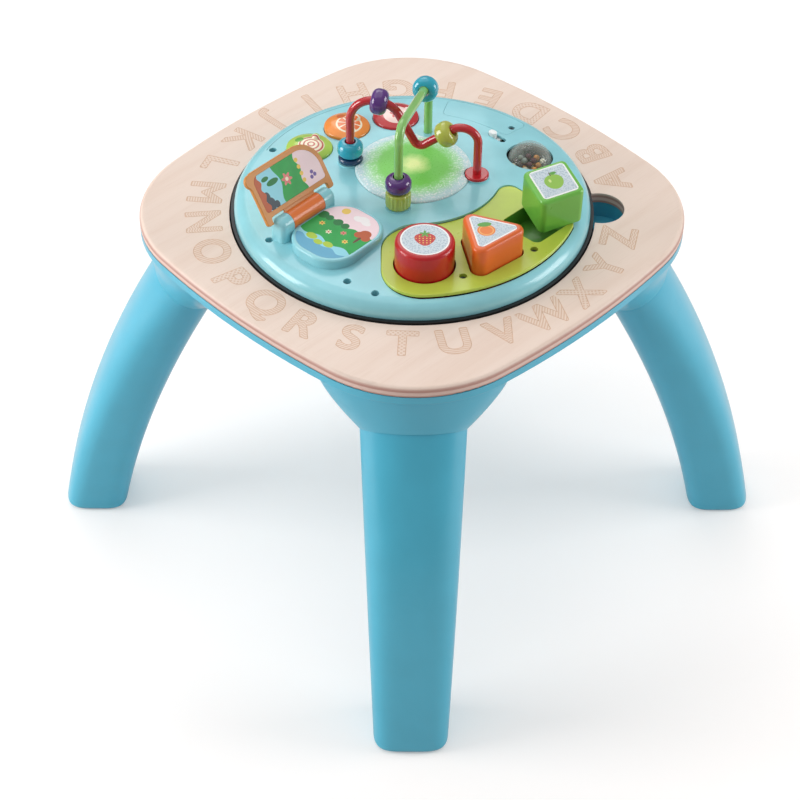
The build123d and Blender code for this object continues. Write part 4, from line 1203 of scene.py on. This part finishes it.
@dataclass
class Maze(Assembly):
    """The two coated wires and their beads."""

    flutes: int = 18
    flute_depth: float = 0.7
    flute_steps: int = 10
    bore: float = 5.7
    soften: float = 2.6
    soften_steps: int = 6

    def fluted_bead(self) -> bpy.types.Mesh:
        """The low clear bead, with upright flutes round it.

        Returns:
            The mesh.
        """
        low, high = (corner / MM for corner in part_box("bead_lime"))
        middle = (low + high) / 2
        radius = (high.x - low.x) / 2
        length = high.z - low.z
        profile = [(self.bore, 0.0, 0.0)]
        for step in range(self.soften_steps + 1):
            share = step / self.soften_steps
            turn = math.pi / 2 * share
            rise = self.soften * (1 - math.cos(turn))
            profile.append((radius - self.soften * (1 - math.sin(turn)), rise, share))
        profile += [(r, length - z, share) for r, z, share in reversed(profile)]
        shape = bmesh.new()
        rings = []
        steps = self.flutes * self.flute_steps
        for reach, rise, share in profile:
            ring = []
            for i in range(steps):
                turn = TURN * i / steps
                cut = self.flute_depth * share * (0.5 - 0.5 * math.cos(self.flutes * turn))
                out = reach - cut
                spot = Vector((out * math.cos(turn), out * math.sin(turn), rise - length / 2))
                ring.append(shape.verts.new(middle + spot))
            rings.append(ring)
        Mould.bridge(shape, rings + rings[:1])
        return Mould.mesh("bead_lime_fluted", shape)

    def build(self) -> None:
        """Dresses wires and beads, and makes the fluted bead."""
        dyes = {
            "wire_red": (srgb(190, 34, 42), ("red_wire",)),
            "wire_green": (srgb(136, 196, 104), ("green_wire",)),
            "bead_teal": (srgb(38, 166, 190), ("bead_teal_low", "bead_teal_back")),
            "bead_navy": (srgb(26, 62, 100), ("bead_navy",)),
            "bead_purple": (srgb(86, 42, 120), ("bead_purple_arch", "bead_purple_front")),
            "bead_olive": (srgb(178, 184, 74), ("bead_olive",)),
        }
        for name, (colour, nodes) in dyes.items():
            self.dress(Plastic(name, colour, roughness=0.16, grain=0.004, coat=0.6).material(), *nodes)
        clear = Plastic("bead_lime", srgb(184, 200, 88), roughness=0.2, grain=0.004, coat=0.5, body=0.3)
        piece = self.add("bead_lime_fluted", self.fluted_bead(), clear.material(), "bead_lime", "bead_lime")
        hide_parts("bead_lime")


@dataclass
class Buttons(Assembly):
    """The three push buttons, each with a printed slice."""

    ring: float = 122.5
    start: float = 97.5
    step: float = 25.0
    dot_shift: float = 12.0
    dot: float = 4.4
    slice_radius: float = 13.5

    def motif(self, drawing: Drawing, name: str) -> None:
        """Draws a button's slice.

        Args:
            drawing: The drawing, with up along the button's spoke.
            name: The button's colour.
        """
        reach = self.slice_radius
        if name == "green":
            drawing.paint(drawing.disc(-1, -3, reach), Inks.CREAM)
            for share in (0.86, 0.55, 0.24):
                drawing.paint(drawing.hoop(-1, -3, reach * share, 1.7), srgb(196, 92, 78))
        elif name == "orange":
            drawing.paint(drawing.disc(0, -4, reach), Inks.CREAM)
            left, rise = drawing.x, drawing.y + 4
            spokes = abs((rise.bearing(left) * 4).sine())
            flesh = drawing.shade.smooth(spokes, 0.22, 0.4) & drawing.disc(0, -4, reach * 0.86)
            drawing.paint(flesh, srgb(232, 112, 44))
        else:
            drawing.paint(drawing.disc(0, -4, reach), srgb(246, 214, 206))
            drawing.paint(drawing.blossom(0, -4, reach * 0.42, 5, 0.22), srgb(214, 74, 74))
            drawing.paint(drawing.disc(0, -4, reach * 0.16), Inks.CREAM)

    def build(self) -> None:
        """Dresses each button."""
        shades = {
            "red": (srgb(190, 40, 44), srgb(150, 24, 30)),
            "orange": (srgb(240, 142, 54), srgb(214, 100, 30)),
            "green": (srgb(176, 212, 84), srgb(104, 176, 62)),
        }
        for index, (name, (colour, dot)) in enumerate(shades.items()):
            turn = math.radians(self.start + index * self.step)
            out = Vector((math.cos(turn), math.sin(turn), 0.0))
            finish = Plastic(f"button_{name}", colour, roughness=0.2, grain=0.004, coat=0.5)
            shade = Shade.of_material(finish.name)
            drawing = Drawing(shade, out * self.ring, (out.y, -out.x, 0.0), out, finish.tint(shade))
            self.motif(drawing, name)
            drawing.paint(drawing.disc(0, self.dot_shift, self.dot), dot)
            self.dress(shade.surface(finish.sockets(shade, drawing.ink)), f"button_{name}")


@dataclass
class FlipBook(Assembly):
    """The flip page, its barrel and the printed landscapes."""

    barrel: Triple = (-106.0, -54.0, 426.0)
    along: Triple = (0.66913, 0.74314, 0.0)
    tilt: float = 57.0
    frame_: Plastic = Plastic("page_frame", srgb(206, 136, 62), roughness=0.42)
    roller: Plastic = Plastic("barrel_orange", srgb(236, 124, 58), roughness=0.3, coat=0.2)
    sheet: Plastic = Plastic("printed_sheet", Inks.MEADOW, roughness=0.5, cloud=0.06, cloud_size=9.0)

    def pond(self, art: Drawing) -> None:
        """The fixed landscape: sky, meadow and a pond.

        Args:
            art: The drawing.
        """
        art.paint(1 - art.below(14, 2.2, 24), Inks.SKY)
        art.paint(art.disc(27, 32, 4.5), Inks.SUN)
        art.discs(((44, 31, 4), (49, 33, 4.6), (54, 30.5, 3.6)), Inks.CLOUD, 1.4)
        art.discs(((14, 14, 5.5), (22, 14, 4), (33, 14, 5), (42, 14, 4.2)), Inks.HEDGE)
        art.paint(art.below(-15, 2.4, 31, 1.0), Inks.WATER)
        art.paint(art.below(-22, 1.6, 19, 2.0), Inks.DEEP)
        art.discs(((28, -18, 4.2), (39, -21, 3.4), (49, -18, 3.8)), Inks.LIME, 1.5)
        for x, y, ink in ((22, 3, Inks.SUN), (36, -3, Inks.CREAM), (48, 5, Inks.PINK), (58, -4, Inks.SUN)):
            art.paint(art.blossom(x, y, 2.6, 6), ink)
            art.paint(art.disc(x, y, 1.0), Inks.RUST)
        art.paint(art.disc(65, 8, 8.5, 0.18), Inks.BARK)
        art.discs(((65, 17, 6.2), (60.5, 13, 4.6), (69.5, 12.5, 4.4)), Inks.RUST)

    def stream(self, art: Drawing) -> None:
        """The page's front: a stream, a meadow and a pale sky.

        Args:
            art: The drawing.
        """
        art.paint(1 - art.below(15, 1.8, 21, 0.5), Inks.SKY)
        art.discs([(x, 15.5, 2.2) for x in (-47, -40, -33, -26)], Inks.SUN)
        art.discs(((-29, 27, 2.0), (-24.5, 25, 2.0), (-25.5, 29.5, 2.0)), Inks.PLUM)
        art.paint(art.below(-13, 2.6, 34, 2.2), Inks.WATER)
        art.paint(art.disc(-41, -20, 7.5, 0.4), Inks.HEDGE)
        art.paint(art.disc(-47, -27, 4.5, 0.5), Inks.HEDGE)
        art.paint(art.blossom(-36, -3, 5.2, 6), Inks.PINK)
        art.paint(art.disc(-36, -3, 2.0), Inks.CREAM)
        art.discs(((-23, -31, 5.0), (-31, -33, 3.8), (-20, -25, 3.0)), Inks.STONE, 1.3)
        art.paint(art.below(-34, 1.4, 12, 0.3), Inks.RUST)

    def orchard(self, art: Drawing) -> None:
        """The page's back: low hills and round trees.

        Args:
            art: The drawing.
        """
        art.paint(1 - art.below(10, 2.6, 30, 1.4), Inks.SKY)
        art.paint(art.below(-4, 3.0, 41, 0.4), Inks.LIME)
        art.paint(art.below(-18, 2.2, 27, 2.6), Inks.HEDGE)
        for x, y in ((-46, 2), (-36, -2), (-25, 1)):
            art.paint(art.disc(x, y - 5, 5.0, 0.2), Inks.BARK)
            art.paint(art.disc(x, y + 3, 5.2), Inks.LEAF)
            art.paint(art.blossom(x, y + 3, 1.5, 5), Inks.RED)

    def build(self) -> None:
        """Dresses the book and prints its landscapes."""
        self.dress(self.frame_.material(), "page_leaf")
        self.dress(self.roller.material(), "page_barrel")
        up = Vector(self.along)
        out = Vector((-up.y, up.x, 0.0))
        rise = math.radians(self.tilt)
        leaf = out * math.cos(rise) + Vector(UP) * math.sin(rise)
        shade = Shade.of_material("book_print")
        art = Drawing(shade, self.barrel, -out, up, self.sheet.tint(shade))
        self.pond(art)
        self.dress(shade.surface(self.sheet.sockets(shade, art.ink)), "book_picture")
        shade = Shade.of_material("page_print")
        paper = self.sheet.tint(shade)
        front = Drawing(shade, self.barrel, -leaf, up, paper)
        self.stream(front)
        back = Drawing(shade, self.barrel, -leaf, up, paper)
        self.orchard(back)
        side = shade.smooth(shade.along(up.cross(leaf), self.barrel), -Drawing.SOFT, Drawing.SOFT)
        ink = shade.mix(side, back.ink, front.ink)
        self.dress(shade.surface(self.sheet.sockets(shade, ink)), "page_pictures")


@dataclass
class Sorter(Assembly):
    """The lime tray, the three blocks and their labels."""

    lime: Plastic = Plastic("tray_lime", srgb(190, 210, 78), roughness=0.3, coat=0.2)
    label_height: float = 0.25
    label_bevel: float = 0.12
    red_place: Triple = (10.0, -119.0, 442.5)
    orange_place: Triple = (71.0, -104.0, 442.5)
    orange_turn: float = 10.0
    green_place: Triple = (134.2, -40.7, 417.8)
    green_side: Triple = (0.917, 0.39, 0.08)
    green_up: Triple = (-0.005, -0.19, 0.981)
    green_height: float = 42.0
    pocket_top: float = 412.9
    pocket_reach: dict[str, float] = field(
        default_factory=lambda: {"red": 33.0, "orange": 37.5, "green": 33.0}
    )
    pocket_fade: float = 0.6
    pocket_edge: float = 0.5
    # Share of the block's colour inside its pocket; the darkening is painted shade in the recess.
    pocket_painted_shade: float = 0.8
    wall_from: Point = (161.5, 162.5)
    green_pocket: Point = (118.3, -54.0)
    round_label: float = 23.4
    three_reach: float = 31.0
    three_corner: float = 4.5
    square_half: float = 18.6
    square_corner: float = 4.0
    border: float = 1.5
    fleck_size: float = 1.5
    fleck_step: Point = (0.5, 0.6)

    def frames(self) -> dict[str, Matrix]:
        """Frame of each label, with up to the back of the table.

        Returns:
            The frames by block.
        """
        up = Vector(self.green_up).normalized()
        side = (Vector(self.green_side) - up * up.dot(Vector(self.green_side))).normalized()
        tilted = Matrix((side, up.cross(side), up)).transposed().to_4x4()
        tilted.translation = Vector(self.green_place) + up * self.green_height
        turn = Matrix.Rotation(math.radians(self.orange_turn), 4, "Z")
        return {
            "red": Matrix.Translation(self.red_place),
            "orange": Matrix.Translation(self.orange_place) @ turn,
            "green": tilted,
        }

    def edge(self, drawing: Drawing, name: str) -> Field:
        """How far a point is inside the label's outline.

        Args:
            drawing: The drawing.
            name: The block's colour.

        Returns:
            The distance in millimetres.
        """
        if name == "red":
            return self.round_label - drawing.x.beside(drawing.y)
        if name == "green":
            return self.square_half - (abs(drawing.x) | abs(drawing.y))
        half = self.three_reach / 2
        reach = drawing.x * -1.0
        for turn in (math.pi / 3, -math.pi / 3):
            reach = reach | (drawing.x * math.cos(turn) + drawing.y * math.sin(turn))
        return half - reach

    def fruit(self, art: Drawing, name: str) -> None:
        """Draws a plain fruit on a label.

        Args:
            art: The drawing.
            name: The block's colour.
        """
        if name == "red":
            art.paint(art.berry(0, 0, 9.5, 0.035), Inks.RED)
            art.paint(art.dots(3.4, 0.72) & art.berry(0, 0, 8.4, 0.035), Inks.SUN)
            art.paint(art.blossom(0, 8.6, 3.6, 5, 0.45), Inks.LEAF)
        elif name == "orange":
            art.paint(art.disc(-3, 0, 8.6), Inks.ORANGE)
            art.paint(art.hoop(-3, 0, 6.6, 0.9), srgb(250, 190, 110))
            art.paint(art.disc(-3, 9, 3.4, 2.0), Inks.LEAF)
        else:
            art.paint(art.berry(0, -1, 9.4, 0.012), srgb(142, 190, 70))
            art.paint(art.disc(-3.4, 1.5, 2.2, 0.6), srgb(206, 226, 140))
            art.paint(art.disc(0, 9.4, 2.6, 0.22), Inks.BARK)
            art.paint(art.disc(3.4, 9.6, 1.8, 1.9), Inks.LEAF)

    def label(self, name: str, outline: Sequence[Point], place: Matrix) -> None:
        """Adds one label.

        Args:
            name: The block's colour.
            outline: Its outline.
            place: Its frame.
        """
        paper = Plastic(f"label_{name}", Inks.PALE, roughness=0.4, coat=0.1)
        shade = Shade.of_material(paper.name)
        axes = place.to_3x3().col
        art = Drawing(shade, place.translation, axes[0], axes[1], paper.tint(shade))
        flecks = shade.noise(self.fleck_size, detail=1.0)
        art.paint(shade.smooth(flecks, *self.fleck_step), Inks.FLECK)
        self.fruit(art, name)
        art.paint(art.within(self.edge(art, name), self.border, art.SOFT), Inks.WHITE)
        shape = Mould.plate(outline, place, self.label_height, self.label_bevel)
        material = shade.surface(paper.sockets(shade, art.ink))
        self.add(f"label_{name}", Mould.mesh("label", shape, False), material, f"block_{name}", "print")

    def tray(self, colours: dict[str, Colour]) -> bpy.types.Material:
        """The tray's finish, with each pocket in the colour of its block, darkened there as painted shade in
        the recess.

        Args:
            colours: The blocks' colours.

        Returns:
            The material.
        """
        shade = Shade.of_material(self.lime.name)
        tint = self.lime.tint(shade)
        deep = 1 - shade.smooth(shade.along(UP), self.pocket_top - self.pocket_fade, self.pocket_top)
        inside = 1 - shade.smooth(shade.away(), *self.wall_from)
        places = {"orange": self.orange_place, "red": self.red_place, "green": self.green_pocket}
        for name, place in places.items():
            reach = self.pocket_reach[name]
            near = 1 - shade.smooth(shade.away(place), reach - self.pocket_edge, reach)
            # Each pocket takes its block's colour, darkened by a share as painted shade in the recess.
            tint = shade.mix(deep & inside & near, tint, scaled(colours[name], self.pocket_painted_shade))
        return shade.surface(self.lime.sockets(shade, tint))

    def build(self) -> None:
        """Dresses the tray and blocks and adds the labels."""
        colours = {"red": srgb(186, 18, 25), "orange": srgb(226, 102, 36), "green": srgb(112, 188, 74)}
        self.dress(self.tray(colours), "sorter_tray")
        outlines = {
            "red": Mould.circle(self.round_label),
            "orange": Mould.rounded(3, self.three_reach, self.three_corner, 0.0),
            "green": Mould.rounded(4, self.square_half * math.sqrt(2), self.square_corner, 45.0),
        }
        places = self.frames()
        for name, colour in colours.items():
            finish = Plastic(f"block_{name}", colour, roughness=0.3, coat=0.25)
            self.dress(finish.material(), f"block_{name}")
            self.label(name, outlines[name], places[name])


@dataclass
class RattleBall(Assembly):
    """The clear ball and the heap of loose beads in it."""

    beads: Plastic = Plastic("rattle_bead", srgb(228, 158, 96), roughness=0.25, cloud=0.3, cloud_size=7.0)
    centre: Triple = (118.6, 56.9, 403.0)
    bead_radius: float = 3.2
    bead_detail: int = 3
    rings: tuple[tuple[float, float, int], ...] = (
        (-10.5, 13.5, 10),
        (-9.0, 6.5, 5),
        (-3.5, 16.5, 12),
        (-2.5, 9.2, 6),
        (-2.0, 0.0, 1),
    )
    dyes: tuple[tuple[str, Colour], ...] = (
        ("brown", srgb(74, 50, 40)),
        ("cream", srgb(238, 228, 196)),
        ("amber", srgb(226, 150, 52)),
        ("plum", srgb(104, 52, 62)),
        ("grey", srgb(150, 162, 152)),
    )

    def heap(self, name: str, first: int) -> bpy.types.Mesh:
        """The upper layers of loose beads, for one colour.

        Args:
            name: The colour's name.
            first: Number of the colour, which takes each bead that falls to it in turn.

        Returns:
            The mesh.
        """
        middle = Vector(self.centre)
        places = [
            middle + Vector((reach * math.cos(TURN * i / count), reach * math.sin(TURN * i / count), rise))
            for rise, reach, count in self.rings
            for i in range(count)
        ]
        shape = bmesh.new()
        for place in places[first :: len(self.dyes)]:
            spot = Matrix.Translation(place)
            size = {"subdivisions": self.bead_detail, "radius": self.bead_radius}
            bmesh.ops.create_icosphere(shape, matrix=spot, **size)
        return Mould.mesh(f"rattle_{name}", shape)

    def build(self) -> None:
        """Dresses the ball and heaps the beads."""
        self.dress(ClearShell().material(), "ball_half_a", "ball_half_b")
        self.dress(self.beads.material(), "ball_beads")
        for i, (name, colour) in enumerate(self.dyes):
            finish = replace(self.beads, name=f"rattle_{name}", colour=colour)
            self.add(f"rattle_{name}", self.heap(name, i), finish.material(), "ball", "rattle")


@dataclass
class Studio:
    """Floor, soft light and the camera."""

    focal: float = 99.0
    sensor: float = 36.0
    target: Triple = (-9.63, 0.0, 131.54)
    distance: float = 2358.7
    elevation: float = 42.20
    yaw: float = 0.871
    roll: float = 0.755
    floor_size: float = 12.0
    floor_colour: Colour = (0.8, 0.757, 0.737)
    floor_lift: float = 0.28
    floor_cloud: float = 400.0
    floor_shade: float = 0.99
    floor_fade: Point = (700.0, 2200.0)
    sky_low: float = 0.22
    sky_high: float = 0.51
    sun: float = 0.75
    sun_spread: float = 70.0
    sun_from: Triple = (-0.3, 0.25, 1.0)
    lamps: tuple[tuple[str, Triple, float, float], ...] = (
        ("left_lamp", (-2.3, -0.3, 1.0), 1.2, 36.0),
        ("back_lamp", (-0.3, 1.9, 2.0), 1.4, 10.0),
        ("right_lamp", (2.3, -0.1, 1.0), 1.2, 26.0),
    )

    def seen(self, shade: Shade) -> Field:
        """Where a ray comes from the camera, or through glass.

        Args:
            shade: The shader to ask in.

        Returns:
            The mask.
        """
        names = ("Is Camera Ray", "Is Transmission Ray")
        camera, glass = (shade.node("ShaderNodeLightPath", {}, {}, name) for name in names)
        return camera | glass

    def floor_finish(self) -> bpy.types.Material:
        """The pale floor's finish, lifted towards white where it is seen, and white far off.

        Returns:
            The material.
        """
        shade = Shade.of_material("pale_floor")
        cloud = shade.noise(self.floor_cloud)
        tint = shade.mix(cloud, scaled(self.floor_colour, self.floor_shade), self.floor_colour)
        matt = shade.node("ShaderNodeBsdfDiffuse", {}, {"Color": tint})
        lift = shade.node("ShaderNodeEmission", {}, {"Color": WHITE, "Strength": self.floor_lift})
        lifted = shade.node("ShaderNodeAddShader", {}, {0: matt, 1: lift})
        seen = self.seen(shade)
        near = shade.node("ShaderNodeMixShader", {}, {0: seen, 1: matt, 2: lifted})
        white = shade.node("ShaderNodeEmission", {}, {"Color": WHITE, "Strength": 1.0})
        far = shade.smooth(shade.away(), *self.floor_fade)
        chosen = shade.node("ShaderNodeMixShader", {}, {0: seen & far, 1: near, 2: white})
        return shade.end(chosen)

    def floor(self) -> None:
        """Lays the floor."""
        half = self.floor_size / 2
        shape = bmesh.new()
        corners = ((-half, -half), (half, -half), (half, half), (-half, half))
        shape.faces.new([shape.verts.new((x, y, 0.0)) for x, y in corners])
        mesh = bpy.data.meshes.new("floor")
        shape.to_mesh(mesh)
        shape.free()
        mesh.materials.append(self.floor_finish())
        ground = bpy.data.objects.new("floor", mesh)
        bpy.context.scene.collection.objects.link(ground)

    def hang(self, lamp: bpy.types.Light, spot: Triple) -> None:
        """Hangs a lamp so that it looks at the table.

        Args:
            lamp: The lamp.
            spot: Its place, in metres.
        """
        holder = bpy.data.objects.new(lamp.name, lamp)
        holder.location = spot
        holder.rotation_euler = (-Vector(spot)).to_track_quat("-Z", "Y").to_euler()
        bpy.context.scene.collection.objects.link(holder)

    def sky(self) -> None:
        """Sets the soft sky, which is white where it is seen."""
        world = bpy.data.worlds.new("studio")
        bpy.context.scene.world = world
        shade = Shade(world)
        heading = shade.node("ShaderNodeTexCoord", {}, {}, "Generated")
        ends = {0: heading, 1: UP}
        rise = shade.node("ShaderNodeVectorMath", {"operation": "DOT_PRODUCT"}, ends, "Value") | 0.0
        lit = rise * (self.sky_high - self.sky_low) + self.sky_low
        seen = self.seen(shade)
        strength = seen + (1 - seen) * lit
        sky = shade.node("ShaderNodeBackground", {}, {"Color": WHITE, "Strength": strength})
        shade.node("ShaderNodeOutputWorld", {}, {"Surface": sky})

    def light(self) -> None:
        """Hangs the sun and the lamps."""
        sun = bpy.data.lights.new("soft_sun", "SUN")
        sun.energy = self.sun
        sun.angle = math.radians(self.sun_spread)
        self.hang(sun, self.sun_from)
        for name, spot, size, power in self.lamps:
            lamp = bpy.data.lights.new(name, "AREA")
            lamp.energy = power
            lamp.size = size
            self.hang(lamp, spot)

    def camera(self) -> None:
        """Sets the camera at the photograph's angle."""
        data = bpy.data.cameras.new("camera")
        data.lens = self.focal
        data.sensor_width = self.sensor
        rise = math.radians(self.elevation)
        turn = Matrix.Rotation(-math.radians(self.yaw), 3, "Z")
        ahead = turn @ Vector((0, math.cos(rise), -math.sin(rise)))
        right = turn @ Vector((1, 0, 0))
        up = right.cross(ahead)
        roll = math.radians(self.roll)
        axis_x = right * math.cos(roll) + up * math.sin(roll)
        axis_y = up * math.cos(roll) - right * math.sin(roll)
        place = Matrix((axis_x, axis_y, -ahead)).transposed().to_4x4()
        place.translation = (turn @ Vector(self.target) - ahead * self.distance) * MM
        holder = bpy.data.objects.new("camera", data)
        holder.matrix_world = place
        bpy.context.scene.collection.objects.link(holder)
        bpy.context.scene.camera = holder
        bpy.context.scene.view_settings.view_transform = "Standard"

    def build(self) -> None:
        """Sets floor, light and camera."""
        self.camera()
        self.sky()
        self.light()
        self.floor()


def main() -> None:
    """Builds every sub-assembly."""
    logging.basicConfig(level=logging.INFO, format="%(name)s: %(message)s")
    for part in (Studio(), Table(), Panel(), Maze(), Buttons(), FlipBook(), Sorter(), RattleBall()):
        part.build()
        LOG.info("built %s", type(part).__name__)


if __name__ == "__main__":
    main()
